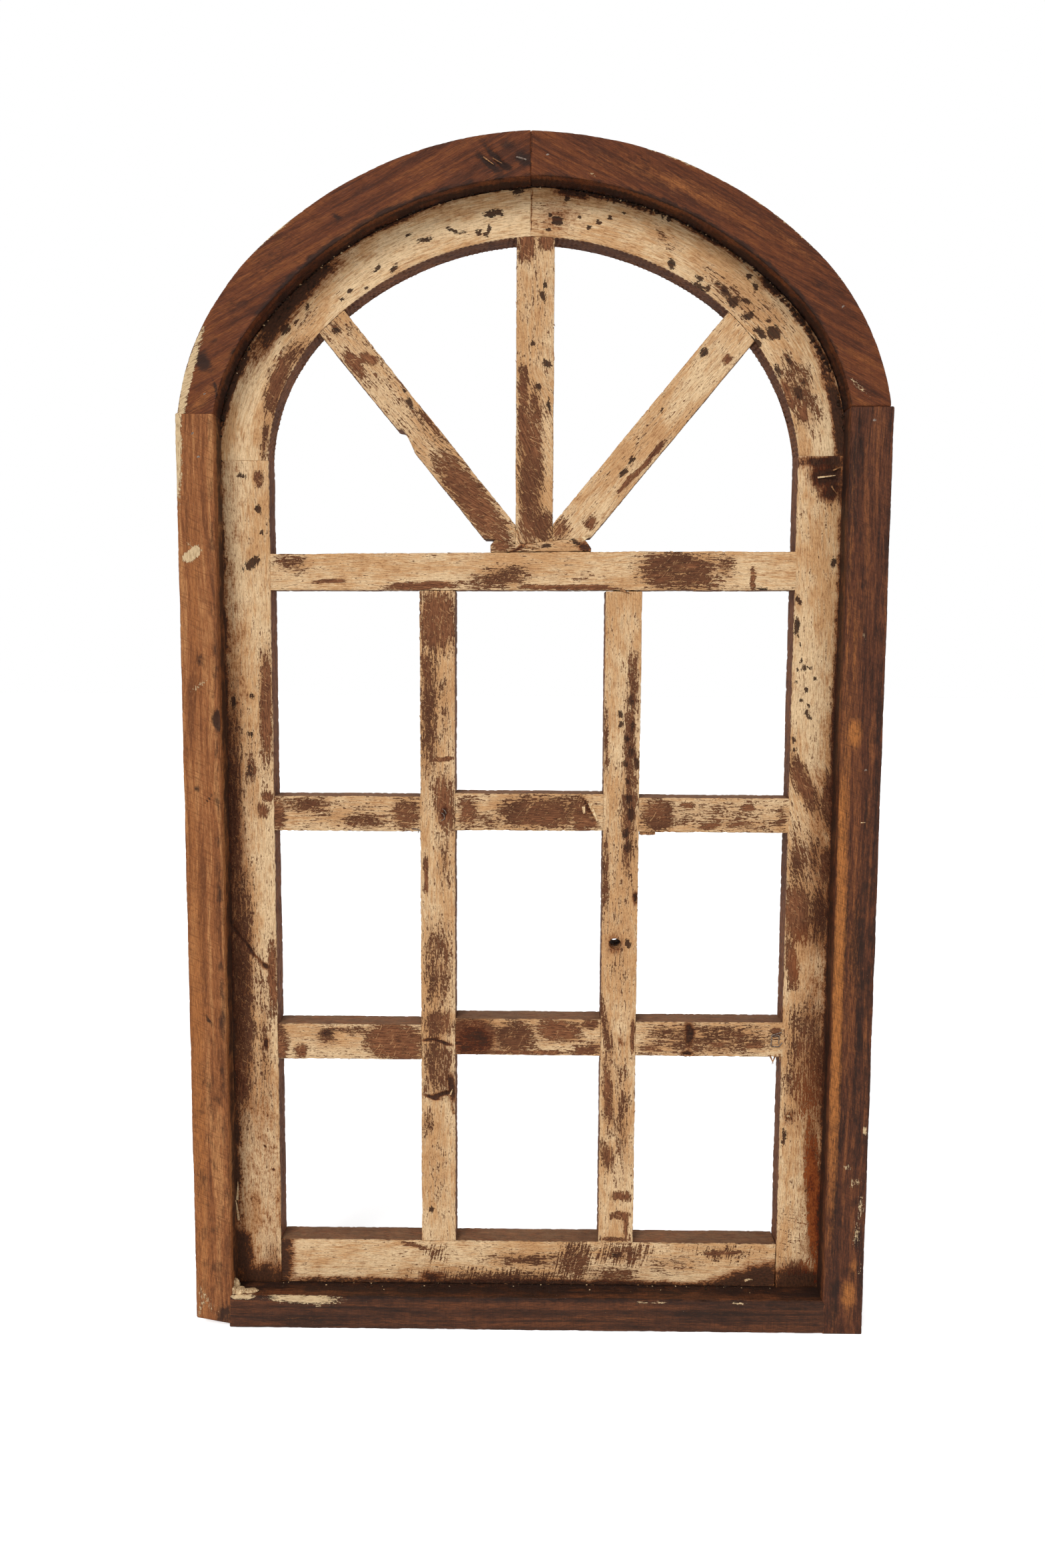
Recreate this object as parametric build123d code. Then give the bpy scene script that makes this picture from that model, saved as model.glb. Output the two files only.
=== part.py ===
"""Arched farmhouse window: a stained outer frame that holds a painted fan-light sash.

Millimetres. X runs to the right, Y runs back through the wall and Z runs up.
The origin is on the floor, below the middle of the frame's width and depth.
"""
from build123d import *
import os
from dataclasses import dataclass
from math import atan2, cos, hypot, radians, sin

# Outer frame: the brown surround that stands proud of the sash
FRAME_WIDTH = 560.0
FRAME_DEPTH = 49.0
JAMB_WIDTH_LEFT = 28.4
JAMB_WIDTH_RIGHT = 31.1
SILL_HEIGHT = 29.0
OUTER_JOINT_LEFT = 751.0
OUTER_JOINT_RIGHT = 759.0
WORN_FOOT_TOE = 7.0
WORN_FOOT_HEEL = 1.5

# Sash: the cream inner frame, flush with the back of the outer one
SASH_DEPTH = 25.7
STILE_WIDTH_LEFT = 40.1
STILE_WIDTH_RIGHT = 37.1
BOTTOM_RAIL_HEIGHT = 38.6
TRANSOM_BASE = 616.6
TRANSOM_HEIGHT = 32.9
SASH_JOINT_LEFT = 719.0
SASH_JOINT_RIGHT = 724.0

# Both arches are sawn in halves that meet on one upright joint
CROWN_JOINT_X = -3.0

# Where the arch lines are struck from: the crown centre is on the axis and each haunch centre is
# on its springing level, the given distance out from the axis
ARCH_AXIS_LEFT = 9.6
ARCH_AXIS_RIGHT = -6.1
CROWN_CENTRE_LEFT = 637.0
CROWN_CENTRE_RIGHT = 636.6
SPRINGING_LEFT = 724.2
SPRINGING_RIGHT = 729.0
INTRADOS_SPRINGING_LEFT = 713.8
INTRADOS_SPRINGING_RIGHT = 702.5
EXTRADOS_HAUNCH_LEFT = 84.8
EXTRADOS_HAUNCH_RIGHT = 86.6
REBATE_HAUNCH_LEFT = 109.6
REBATE_HAUNCH_RIGHT = 95.2
INTRADOS_HAUNCH_LEFT = 71.8
INTRADOS_HAUNCH_RIGHT = 40.3

# Upright glazing bars, given by their left edge and width
MUNTIN_LEFT_X = -91.6
MUNTIN_LEFT_WIDTH = 29.4
MUNTIN_RIGHT_X = 58.7
MUNTIN_RIGHT_WIDTH = 30.2

# Short cross bars, given by their underside and height, from left to right
LOWER_BAR_BASES = (226.4, 230.9, 231.4)
LOWER_BAR_HEIGHTS = (30.8, 31.8, 29.7)
UPPER_BAR_BASES = (420.2, 421.5, 421.0)
UPPER_BAR_HEIGHTS = (29.6, 31.2, 29.0)

# Fan bars: the centre one is upright, and the middle lines of the others lean out from the transom
FAN_CENTRE_X = 1.1
FAN_CENTRE_WIDTH = 30.6
FAN_LEFT_FOOT_X = -14.7
FAN_LEFT_WIDTH = 27.2
FAN_LEFT_ANGLE = 39.3
FAN_RIGHT_FOOT_X = 18.7
FAN_RIGHT_WIDTH = 30.9
FAN_RIGHT_ANGLE = 39.7

# Packing wedge that the fan bars stand on, given by its ends and its thickness along the top
PACKER_LEFT_X = -34.0
PACKER_RIGHT_X = 47.0
PACKER_LEFT_THICKNESS = 9.0
PACKER_RIGHT_THICKNESS = 10.5
PACKER_MIDDLE_LEFT_THICKNESS = 5.0
PACKER_MIDDLE_RIGHT_THICKNESS = 8.0

# Planes and levels that several pieces share
FRAME_FRONT = -FRAME_DEPTH / 2
FRAME_BACK = FRAME_DEPTH / 2
SASH_FRONT = FRAME_BACK - SASH_DEPTH
RAIL_TOP = SILL_HEIGHT + BOTTOM_RAIL_HEIGHT
TRANSOM_TOP = TRANSOM_BASE + TRANSOM_HEIGHT
BEYOND = 2 * FRAME_WIDTH


@dataclass(frozen=True)
class ArchLine:
    """One half of a three-centred arch line with its upright stretch below.

    The haunch is struck from a centre on the springing level, and the crown from a
    lower centre on the axis. Both arcs are tangent where they meet.
    """

    side: int
    axis: float
    springing: float
    half_width: float
    haunch_offset: float
    crown_centre: float

    def outline(self) -> Face:
        """The area from the arch line in to the crown joint and down to the floor."""
        drop = self.springing - self.crown_centre
        haunch_radius = self.half_width - self.side * self.axis - self.haunch_offset
        crown_radius = haunch_radius + hypot(self.haunch_offset, drop)
        lean = atan2(self.haunch_offset, drop)
        crown_x = self.side * (CROWN_JOINT_X - self.axis)
        crown_angle = atan2(crown_x, (crown_radius**2 - crown_x**2) ** 0.5)

        def haunch_point(angle: float) -> tuple:
            return self.point(self.haunch_offset, self.springing, haunch_radius, angle)

        def crown_point(angle: float) -> tuple:
            return self.point(0.0, self.crown_centre, crown_radius, angle)

        springing_angle = radians(90)
        foot = (self.side * self.half_width, 0.0)
        haunch = ThreePointArc(
            haunch_point(springing_angle),
            haunch_point((springing_angle + lean) / 2),
            haunch_point(lean),
        )
        crown = ThreePointArc(
            crown_point(lean),
            crown_point((lean + crown_angle) / 2),
            crown_point(crown_angle),
        )
        closing = Polyline(crown @ 1, (CROWN_JOINT_X, 0.0), foot, haunch @ 0)
        return make_face([haunch, crown, closing])

    def point(self, offset: float, height: float, radius: float, angle: float) -> tuple:
        """A point at an angle from upright on the arc round one of the two centres."""
        x = self.axis + self.side * (offset + radius * sin(angle))
        return (x, height + radius * cos(angle))


@dataclass(frozen=True)
class Half:
    """The values that differ between the two hand-sawn halves of the window."""

    name: str
    side: int
    axis: float
    crown_centre: float
    jamb_width: float
    stile_width: float
    springing: float
    intrados_springing: float
    extrados_haunch: float
    rebate_haunch: float
    intrados_haunch: float
    outer_joint: float
    sash_joint: float

    def line(self, half_width: float, haunch_offset: float, springing: float) -> ArchLine:
        """An arch line of this half."""
        return ArchLine(
            self.side, self.axis, springing, half_width, haunch_offset, self.crown_centre
        )

    @property
    def rebate_half_width(self) -> float:
        """From the middle of the frame to the face that the sash fits against."""
        return FRAME_WIDTH / 2 - self.jamb_width

    @property
    def light_half_width(self) -> float:
        """From the middle of the frame to the inner edge of the stile."""
        return self.rebate_half_width - self.stile_width

    def extrados(self) -> Face:
        """Everything inside the outside edge of the outer frame."""
        return self.line(FRAME_WIDTH / 2, self.extrados_haunch, self.springing).outline()

    def rebate(self) -> Face:
        """Everything inside the line between the outer frame and the sash."""
        return self.line(self.rebate_half_width, self.rebate_haunch, self.springing).outline()

    def intrados(self) -> Face:
        """Everything inside the inner edge of the sash."""
        return self.line(
            self.light_half_width, self.intrados_haunch, self.intrados_springing
        ).outline()


LEFT = Half(
    name="left",
    side=-1,
    axis=ARCH_AXIS_LEFT,
    crown_centre=CROWN_CENTRE_LEFT,
    jamb_width=JAMB_WIDTH_LEFT,
    stile_width=STILE_WIDTH_LEFT,
    springing=SPRINGING_LEFT,
    intrados_springing=INTRADOS_SPRINGING_LEFT,
    extrados_haunch=EXTRADOS_HAUNCH_LEFT,
    rebate_haunch=REBATE_HAUNCH_LEFT,
    intrados_haunch=INTRADOS_HAUNCH_LEFT,
    outer_joint=OUTER_JOINT_LEFT,
    sash_joint=SASH_JOINT_LEFT,
)
RIGHT = Half(
    name="right",
    side=1,
    axis=ARCH_AXIS_RIGHT,
    crown_centre=CROWN_CENTRE_RIGHT,
    jamb_width=JAMB_WIDTH_RIGHT,
    stile_width=STILE_WIDTH_RIGHT,
    springing=SPRINGING_RIGHT,
    intrados_springing=INTRADOS_SPRINGING_RIGHT,
    extrados_haunch=EXTRADOS_HAUNCH_RIGHT,
    rebate_haunch=REBATE_HAUNCH_RIGHT,
    intrados_haunch=INTRADOS_HAUNCH_RIGHT,
    outer_joint=OUTER_JOINT_RIGHT,
    sash_joint=SASH_JOINT_RIGHT,
)


def rectangle(x0: float, x1: float, z0: float, z1: float) -> Face:
    """A rectangle between two x values and two heights."""
    return make_face(Polyline((x0, z0), (x1, z0), (x1, z1), (x0, z1), close=True))


def between(z0: float, z1: float) -> Face:
    """A band wider than the window between two heights."""
    return rectangle(-BEYOND, BEYOND, z0, z1)


def board(outline: Face, front: float) -> Part:
    """A board of this front outline, from its front plane to the back of the window."""
    plane = Plane(origin=(0, FRAME_BACK, 0), x_dir=(1, 0, 0), z_dir=(0, -1, 0))
    return extrude(plane * outline, amount=FRAME_BACK - front)


def outer_board(outline: Face) -> Part:
    """A board as deep as the outer frame."""
    return board(outline, FRAME_FRONT)


def sash_board(outline: Face) -> Part:
    """A board as deep as the sash."""
    return board(outline, SASH_FRONT)


def outer_frame() -> dict:
    """Two jambs that run to the floor, the sill between them and the halves of the arch."""
    pieces = {}
    for half in (LEFT, RIGHT):
        ring = half.extrados() - half.rebate()
        jamb = ring & between(0, half.outer_joint)
        if half is LEFT:
            jamb -= worn_foot()
        pieces[f"outer_jamb_{half.name}"] = outer_board(jamb)
        pieces[f"outer_arch_{half.name}"] = outer_board(ring & between(half.outer_joint, BEYOND))
    sill = rectangle(-LEFT.rebate_half_width, RIGHT.rebate_half_width, 0, SILL_HEIGHT)
    pieces["outer_sill"] = outer_board(sill)
    return pieces


def worn_foot() -> Face:
    """The sliver that is gone from under the left jamb."""
    outside = -FRAME_WIDTH / 2
    inside = -LEFT.rebate_half_width
    return make_face(
        Polyline(
            (outside, 0), (inside, 0), (inside, WORN_FOOT_HEEL), (outside, WORN_FOOT_TOE), close=True
        )
    )


def sash_frame() -> dict:
    """Stiles that stand on the sill, rails between them and the halves of the sash arch."""
    pieces = {}
    for half in (LEFT, RIGHT):
        ring = half.rebate() - half.intrados()
        stile = ring & between(SILL_HEIGHT, half.sash_joint)
        pieces[f"stile_{half.name}"] = sash_board(stile)
        pieces[f"sash_arch_{half.name}"] = sash_board(ring & between(half.sash_joint, BEYOND))
    inner_left = -LEFT.light_half_width
    inner_right = RIGHT.light_half_width
    bottom_rail = rectangle(inner_left, inner_right, SILL_HEIGHT, RAIL_TOP)
    transom = rectangle(inner_left, inner_right, TRANSOM_BASE, TRANSOM_TOP)
    pieces["bottom_rail"] = sash_board(bottom_rail)
    pieces["transom"] = sash_board(transom)
    return pieces


def glazing_bars() -> dict:
    """Two muntins from the bottom rail to the transom, and two rows of cross bars between."""
    muntins = {
        "left": (MUNTIN_LEFT_X, MUNTIN_LEFT_X + MUNTIN_LEFT_WIDTH),
        "right": (MUNTIN_RIGHT_X, MUNTIN_RIGHT_X + MUNTIN_RIGHT_WIDTH),
    }
    pieces = {
        f"muntin_{name}": sash_board(rectangle(x0, x1, RAIL_TOP, TRANSOM_BASE))
        for name, (x0, x1) in muntins.items()
    }
    columns = {
        "left": (-LEFT.light_half_width, muntins["left"][0]),
        "middle": (muntins["left"][1], muntins["right"][0]),
        "right": (muntins["right"][1], RIGHT.light_half_width),
    }
    rows = {
        "lower": (LOWER_BAR_BASES, LOWER_BAR_HEIGHTS),
        "upper": (UPPER_BAR_BASES, UPPER_BAR_HEIGHTS),
    }
    for row, (bases, heights) in rows.items():
        for (column, (x0, x1)), base, height in zip(columns.items(), bases, heights):
            pieces[f"bar_{row}_{column}"] = sash_board(rectangle(x0, x1, base, base + height))
    return pieces


def leaning_strip(foot_x: float, width: float, lean: float) -> Face:
    """A long strip that leans from upright, with its middle line through foot_x on the transom."""
    strip = Pos(0, BEYOND / 2) * Rectangle(width, 2 * BEYOND)
    return Pos(foot_x, TRANSOM_TOP) * Rot(0, 0, lean) * strip


def packer_outline(floor: float) -> Face:
    """The packing wedge, with its underside at the height of floor."""
    bar_left = FAN_CENTRE_X - FAN_CENTRE_WIDTH / 2
    bar_right = FAN_CENTRE_X + FAN_CENTRE_WIDTH / 2
    return make_face(
        Polyline(
            (PACKER_LEFT_X, floor),
            (PACKER_RIGHT_X, floor),
            (PACKER_RIGHT_X, TRANSOM_TOP + PACKER_RIGHT_THICKNESS),
            (bar_right, TRANSOM_TOP + PACKER_MIDDLE_RIGHT_THICKNESS),
            (bar_left, TRANSOM_TOP + PACKER_MIDDLE_LEFT_THICKNESS),
            (PACKER_LEFT_X, TRANSOM_TOP + PACKER_LEFT_THICKNESS),
            close=True,
        )
    )


def fan() -> dict:
    """Three bars that stand on the packing wedge and are coped to the sash arch."""
    light = (LEFT.intrados() + RIGHT.intrados()) & between(TRANSOM_TOP, BEYOND)
    below_bars = packer_outline(floor=0)
    centre = light & rectangle(
        FAN_CENTRE_X - FAN_CENTRE_WIDTH / 2, FAN_CENTRE_X + FAN_CENTRE_WIDTH / 2, 0, BEYOND
    )
    left = leaning_strip(FAN_LEFT_FOOT_X, FAN_LEFT_WIDTH, FAN_LEFT_ANGLE) & light
    right = leaning_strip(FAN_RIGHT_FOOT_X, FAN_RIGHT_WIDTH, -FAN_RIGHT_ANGLE) & light
    left_side = rectangle(-BEYOND, FAN_CENTRE_X - FAN_CENTRE_WIDTH / 2, 0, BEYOND)
    right_side = rectangle(FAN_CENTRE_X + FAN_CENTRE_WIDTH / 2, BEYOND, 0, BEYOND)
    return {
        "fan_bar_left": sash_board((left & left_side) - below_bars),
        "fan_bar_centre": sash_board(centre - below_bars),
        "fan_bar_right": sash_board((right & right_side) - below_bars),
        "fan_packer": sash_board(packer_outline(floor=TRANSOM_TOP)),
    }


def main() -> None:
    """Build every piece and write one STEP file for each."""
    os.makedirs("parts", exist_ok=True)
    pieces = {**outer_frame(), **sash_frame(), **glazing_bars(), **fan()}
    for name, piece in pieces.items():
        export_step(piece, f"parts/{name}.step")


main()
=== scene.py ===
"""Looks of the arched farmhouse window.

Each member is sawn flat as a board in millimetres, worn there, and then laid on its course in
the frame. A point of a member is named by how far it is along the member from its foot or its
left end, how far across from its middle line, positive to the right of the way the member runs,
and how deep it is behind the front.
"""
import logging
import math
import random
from dataclasses import dataclass, field
from enum import Enum
from typing import Any, Callable, Optional, Union

import bmesh
import bpy
import numpy as np
from mathutils import Euler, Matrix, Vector, noise


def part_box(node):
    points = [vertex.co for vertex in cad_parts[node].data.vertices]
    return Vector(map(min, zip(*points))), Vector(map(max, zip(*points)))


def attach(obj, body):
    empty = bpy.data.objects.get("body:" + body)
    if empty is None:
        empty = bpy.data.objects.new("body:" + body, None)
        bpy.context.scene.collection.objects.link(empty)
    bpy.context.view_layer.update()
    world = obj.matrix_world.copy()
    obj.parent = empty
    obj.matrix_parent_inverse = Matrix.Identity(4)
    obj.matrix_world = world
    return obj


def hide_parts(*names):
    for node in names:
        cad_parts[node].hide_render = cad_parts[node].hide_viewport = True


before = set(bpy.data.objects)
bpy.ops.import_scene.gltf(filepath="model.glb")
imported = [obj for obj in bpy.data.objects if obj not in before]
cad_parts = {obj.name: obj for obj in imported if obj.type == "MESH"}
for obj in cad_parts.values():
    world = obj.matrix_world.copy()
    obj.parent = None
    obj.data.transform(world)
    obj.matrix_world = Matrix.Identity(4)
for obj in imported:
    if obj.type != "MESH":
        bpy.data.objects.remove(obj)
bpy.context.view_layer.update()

MM = 0.001
OUTWARDS = np.array((0.0, -1.0, 0.0))
SHARP_ANGLE = 50.0

PAINT_RELIEF = 0.0010
STAIN_RELIEF = 0.0009
FLAKE_RELIEF = 0.0003
METAL_RELIEF = 0.0002
MATT_SPECULAR = 0.16
METAL_SPECULAR = 0.5

log = logging.getLogger("farmhouse_window")

Colour = tuple[float, float, float, float]
Profile = tuple[tuple[float, float], ...]
Triple = tuple[float, float, float]
Piece = bpy.types.Object


# Small tools


def colour(code: str) -> Colour:
    """A colour in the linear values that shaders read.

    Args:
        code: The colour as six hexadecimal digits.

    Returns:
        Red, green, blue and a full alpha.
    """
    parts = [int(code[i:i + 2], 16) / 255 for i in (0, 2, 4)]
    linear = [c / 12.92 if c <= 0.04045 else ((c + 0.055) / 1.055) ** 2.4 for c in parts]
    return (linear[0], linear[1], linear[2], 1.0)


def eased(values: np.ndarray, low: float, high: float) -> np.ndarray:
    """Values turned into a smooth rise from 0 at low to 1 at high."""
    share = np.clip((values - low) / (high - low), 0, 1)
    return share * share * (3 - 2 * share)


def ripple_noise(points: np.ndarray, stretch: Triple, seed: float) -> np.ndarray:
    """Smooth noise between about -1 and 1.

    Args:
        points: One row of three coordinates for each point.
        stretch: Cycles per unit along each coordinate.
        seed: Shift that makes one pattern differ from the next.

    Returns:
        One value for each point.
    """
    scaled = points * np.array(stretch) + seed
    return np.array([noise.noise(spot) for spot in scaled.tolist()])


def read_vectors(mesh: bpy.types.Mesh, name: str) -> np.ndarray:
    """The coordinates or normals of a mesh.

    Args:
        mesh: The mesh to read.
        name: Either co or normal.

    Returns:
        One row of three numbers for each vertex.
    """
    flat = np.empty(len(mesh.vertices) * 3)
    mesh.vertices.foreach_get(name, flat)
    return flat.reshape(-1, 3)


def deselect_all() -> None:
    """Leave nothing selected, so that the next operator acts on its own piece only."""
    if bpy.context.mode != "OBJECT":
        bpy.ops.object.mode_set(mode="OBJECT")
    bpy.ops.object.select_all(action="DESELECT")


def make_active(piece: Piece) -> None:
    """Select one piece alone and make it the active one."""
    deselect_all()
    piece.select_set(True)
    bpy.context.view_layer.objects.active = piece


def newly_added(name: str) -> Piece:
    """Name the primitive that was just added.

    Args:
        name: What the piece and its mesh are called.

    Returns:
        The piece.
    """
    piece = bpy.context.active_object
    piece.name = name
    piece.data.name = name
    return piece


def pick_edges(mesh: bpy.types.Mesh, test: Callable[[bmesh.types.BMEdge], bool]) -> None:
    """Select just the edges that pass a test, while in edit mode.

    Args:
        mesh: The mesh that is being edited.
        test: Says yes to the edges wanted.
    """
    bpy.ops.mesh.select_mode(type="EDGE")
    bpy.ops.mesh.select_all(action="DESELECT")
    net = bmesh.from_edit_mesh(mesh)
    for edge in net.edges:
        if test(edge):
            edge.select_set(True)
    bmesh.update_edit_mesh(mesh)


def joined(pieces: list[Piece], name: str) -> Piece:
    """Make one piece of several.

    Args:
        pieces: What is joined.
        name: What the whole is called.

    Returns:
        The joined piece.
    """
    make_active(pieces[0])
    for piece in pieces:
        piece.select_set(True)
    bpy.ops.object.join()
    pieces[0].name = name
    pieces[0].data.name = name
    return pieces[0]


def dress(piece: Piece, material: bpy.types.Material) -> None:
    """Turn the faces of a piece outwards, smooth them, give it its material and fix it.

    Args:
        piece: A closed shell.
        material: The material all over it.
    """
    make_active(piece)
    bpy.ops.object.mode_set(mode="EDIT")
    bpy.ops.mesh.select_all(action="SELECT")
    bpy.ops.mesh.normals_make_consistent(inside=False)
    bpy.ops.object.mode_set(mode="OBJECT")
    bpy.ops.object.shade_smooth_by_angle(angle=math.radians(SHARP_ANGLE))
    piece.data.materials.append(material)
    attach(piece, "root")
    log.info("%s: %d faces", piece.name, len(piece.data.polygons))


# Shader maths


class Signal:
    """An output socket that can be used in sums, products and steps."""

    def __init__(self, graph: "Graph", socket: Optional[bpy.types.NodeSocket]) -> None:
        """Wrap a socket of a graph."""
        self.graph = graph
        self.socket = socket

    def _math(self, operation: str, first: "Operand", second: "Operand") -> "Signal":
        """One Math node on two operands."""
        return self.graph.node("ShaderNodeMath", {"operation": operation}, {0: first, 1: second})

    def __add__(self, other: "Operand") -> "Signal":
        """The sum of the two at each point."""
        return self._math("ADD", self, other)

    __radd__ = __add__

    def __sub__(self, other: "Operand") -> "Signal":
        """This one less the other."""
        return self._math("SUBTRACT", self, other)

    def __rsub__(self, other: "Operand") -> "Signal":
        """The other less this one."""
        return self._math("SUBTRACT", other, self)

    def __mul__(self, other: "Operand") -> "Signal":
        """The product of the two at each point."""
        return self._math("MULTIPLY", self, other)

    __rmul__ = __mul__

    def over(self, other: "Operand") -> "Signal":
        """The larger of the two at each point."""
        return self._math("MAXIMUM", self, other)

    def step(self, low: float, high: float) -> "Signal":
        """A smooth rise from 0 at low to 1 at high."""
        return self.graph.node(
            "ShaderNodeMapRange",
            {"interpolation_type": "SMOOTHSTEP"},
            {"Value": self, "From Min": low, "From Max": high},
        )


Operand = Union[Signal, float]


class Graph:
    """The node graph of a material or of the sky."""

    def __init__(self, owner: Union[bpy.types.Material, bpy.types.World]) -> None:
        """Start an empty graph on its owner."""
        self.owner = owner
        self.owner.use_nodes = True
        self.tree = owner.node_tree
        self.tree.nodes.clear()

    @classmethod
    def of_material(cls, name: str) -> "Graph":
        """The empty graph of a new material."""
        return cls(bpy.data.materials.new(name))

    def node(
        self,
        kind: str,
        settings: Optional[dict[str, Any]] = None,
        inputs: Optional[dict[Any, Any]] = None,
        output: Union[int, str] = 0,
    ) -> Signal:
        """Add a node.

        Args:
            kind: The node's type.
            settings: Its properties, which are set first.
            inputs: Values or signals for its sockets, by name or place.
            output: Which of its outputs to return.

        Returns:
            The chosen output, or an empty signal where the node has none.
        """
        node = self.tree.nodes.new(kind)
        for key, value in (settings or {}).items():
            setattr(node, key, value)
        for key, value in (inputs or {}).items():
            if isinstance(value, Signal):
                self.tree.links.new(value.socket, node.inputs[key])
            else:
                node.inputs[key].default_value = value
        return Signal(self, node.outputs[output] if node.outputs else None)

    def attribute(self, name: str, output: str = "Fac") -> Signal:
        """What a member's mesh holds under this name."""
        return self.node("ShaderNodeAttribute", {"attribute_name": name}, output=output)

    def seen(self) -> Signal:
        """1 for what the camera sees straight or in a reflection, and 0 for light on its way."""
        straight = self.node("ShaderNodeLightPath", output="Is Camera Ray")
        return straight.over(self.node("ShaderNodeLightPath", output="Is Glossy Ray"))

    def stretched(self, vector: Signal, scale: Triple, turn: float = 0) -> Signal:
        """Coordinates scaled for a pattern, and turned in the plane of the front."""
        rotation = (0, 0, math.radians(turn))
        turned = self.node("ShaderNodeMapping", inputs={"Vector": vector, "Rotation": rotation})
        return self.node("ShaderNodeMapping", inputs={"Vector": turned, "Scale": scale})

    def noise(self, vector: Signal, detail: float = 2, rough: float = 0.5, warp: float = 0) -> Signal:
        """Noise between 0 and 1 with features about one unit long."""
        shape = {"Scale": 1.0, "Detail": detail, "Roughness": rough, "Distortion": warp}
        return self.node("ShaderNodeTexNoise", inputs={"Vector": vector, **shape})

    def mix(self, share: Operand, first: Any, second: Any, blend: str = "MIX") -> Signal:
        """The first colour where share is 0 and the second where it is 1."""
        settings = {"data_type": "RGBA", "blend_type": blend, "clamp_factor": True}
        return self.node("ShaderNodeMix", settings, {0: share, 6: first, 7: second}, output=2)

    def layered(self, base: Any, *layers: tuple[Operand, str]) -> Signal:
        """Lay colours over a base.

        Args:
            base: The lowest colour.
            layers: For each how far it covers what is below, and its code.

        Returns:
            What shows on top.
        """
        for share, code in layers:
            base = self.mix(share, base, colour(code))
        return base

    def surface(
        self,
        base: Any,
        rough: Operand,
        height: Signal,
        lift: float,
        specular: float = MATT_SPECULAR,
        metallic: float = 0.0,
    ) -> bpy.types.Material:
        """Close the graph of a material with its shader.

        Args:
            base: Colour of the surface.
            rough: Its roughness.
            height: Relief between 0 and 1.
            lift: How many metres high the relief is.
            specular: How much it mirrors, where it isn't metal.
            metallic: How much of it is bare metal.

        Returns:
            The finished material.
        """
        normal = self.node("ShaderNodeBump", inputs={"Height": height, "Distance": lift})
        look = {"Base Color": base, "Roughness": rough, "Normal": normal}
        fixed = {"Specular IOR Level": specular, "Metallic": metallic}
        return self.closed(self.node("ShaderNodeBsdfPrincipled", inputs={**look, **fixed}))

    def closed(self, shader: Signal) -> bpy.types.Material:
        """Lead a shader to the output and hand out the material."""
        self.node("ShaderNodeOutputMaterial", inputs={"Surface": shader})
        return self.owner


# Wear and finishes


class Wear(Enum):
    """What has happened to a patch of a member."""

    BARE = "bare"
    CHIP = "chip"
    RUBBED = "rubbed"
    SAWN = "sawn"
    # Dirt and soot, and in places painted shade.
    GRIME_AND_SHADE = "grime_and_shade"
    # Clean orange wood showing, and in places a painted highlight.
    GOLD_AND_HIGHLIGHT = "gold_and_highlight"
    CREAM = "cream"


RUBBED_FADE = (1.2, 0.0, 1.8, 16.0)
WEAR_FADES = {
    Wear.GRIME_AND_SHADE: (0.8, 0.0, 0.7, 14.0),
    Wear.CHIP: (0.7, 0.0, 1.8, 6.0),
    Wear.BARE: (1.3, -4.0, 1.8, 16.0),
    Wear.CREAM: (1.3, -4.0, 1.8, 16.0),
}
DENT_FADE = 1.2


@dataclass(frozen=True)
class Mark:
    """An oval patch of wear on the front of a member, some of it painted shade or painted highlight, in
    millimetres and degrees.
    """

    wear: Wear
    along: float
    across: float
    length: float
    width: float
    turn: float = 0.0
    strength: float = 1.0
    dent: float = 0.0

    def softness(self) -> float:
        """How wide the border is over which the wear fades.

        Returns:
            A share of the mark's breadth and an offset, kept between a least and a most width.
        """
        share, offset, least, most = WEAR_FADES.get(self.wear, RUBBED_FADE)
        return float(np.clip(share * min(self.length, self.width) + offset, least, most))

    def cover(self, along: np.ndarray, across: np.ndarray, soft: float) -> np.ndarray:
        """How far each point is inside the patch.

        Args:
            along: Distances along the member.
            across: Distances across it.
            soft: Width of the border over which the patch fades.

        Returns:
            0 outside, a half on the border and 1 well inside.
        """
        angle = math.radians(self.turn)
        ahead = along - self.along
        aside = across - self.across
        x = (ahead * math.cos(angle) + aside * math.sin(angle)) / (self.length / 2)
        y = (aside * math.cos(angle) - ahead * math.sin(angle)) / (self.width / 2)
        reach = (np.abs(x) ** 3 + np.abs(y) ** 3) ** (1 / 3)
        inside = (1 - reach) * min(self.length, self.width) / 2
        return np.clip(0.58 + inside / soft, 0, 1)


Marks = tuple[Mark, ...]


def worn(wear: Wear, *rows: tuple[float, ...]) -> Marks:
    """Several marks of one kind.

    Args:
        wear: What has happened there.
        rows: For each mark the place along and across, the length and the width and, where
            they are not 0, 1 and 0, the turn, the strength and the dent.

    Returns:
        The marks.
    """
    return tuple(Mark(wear, *row) for row in rows)


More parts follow.
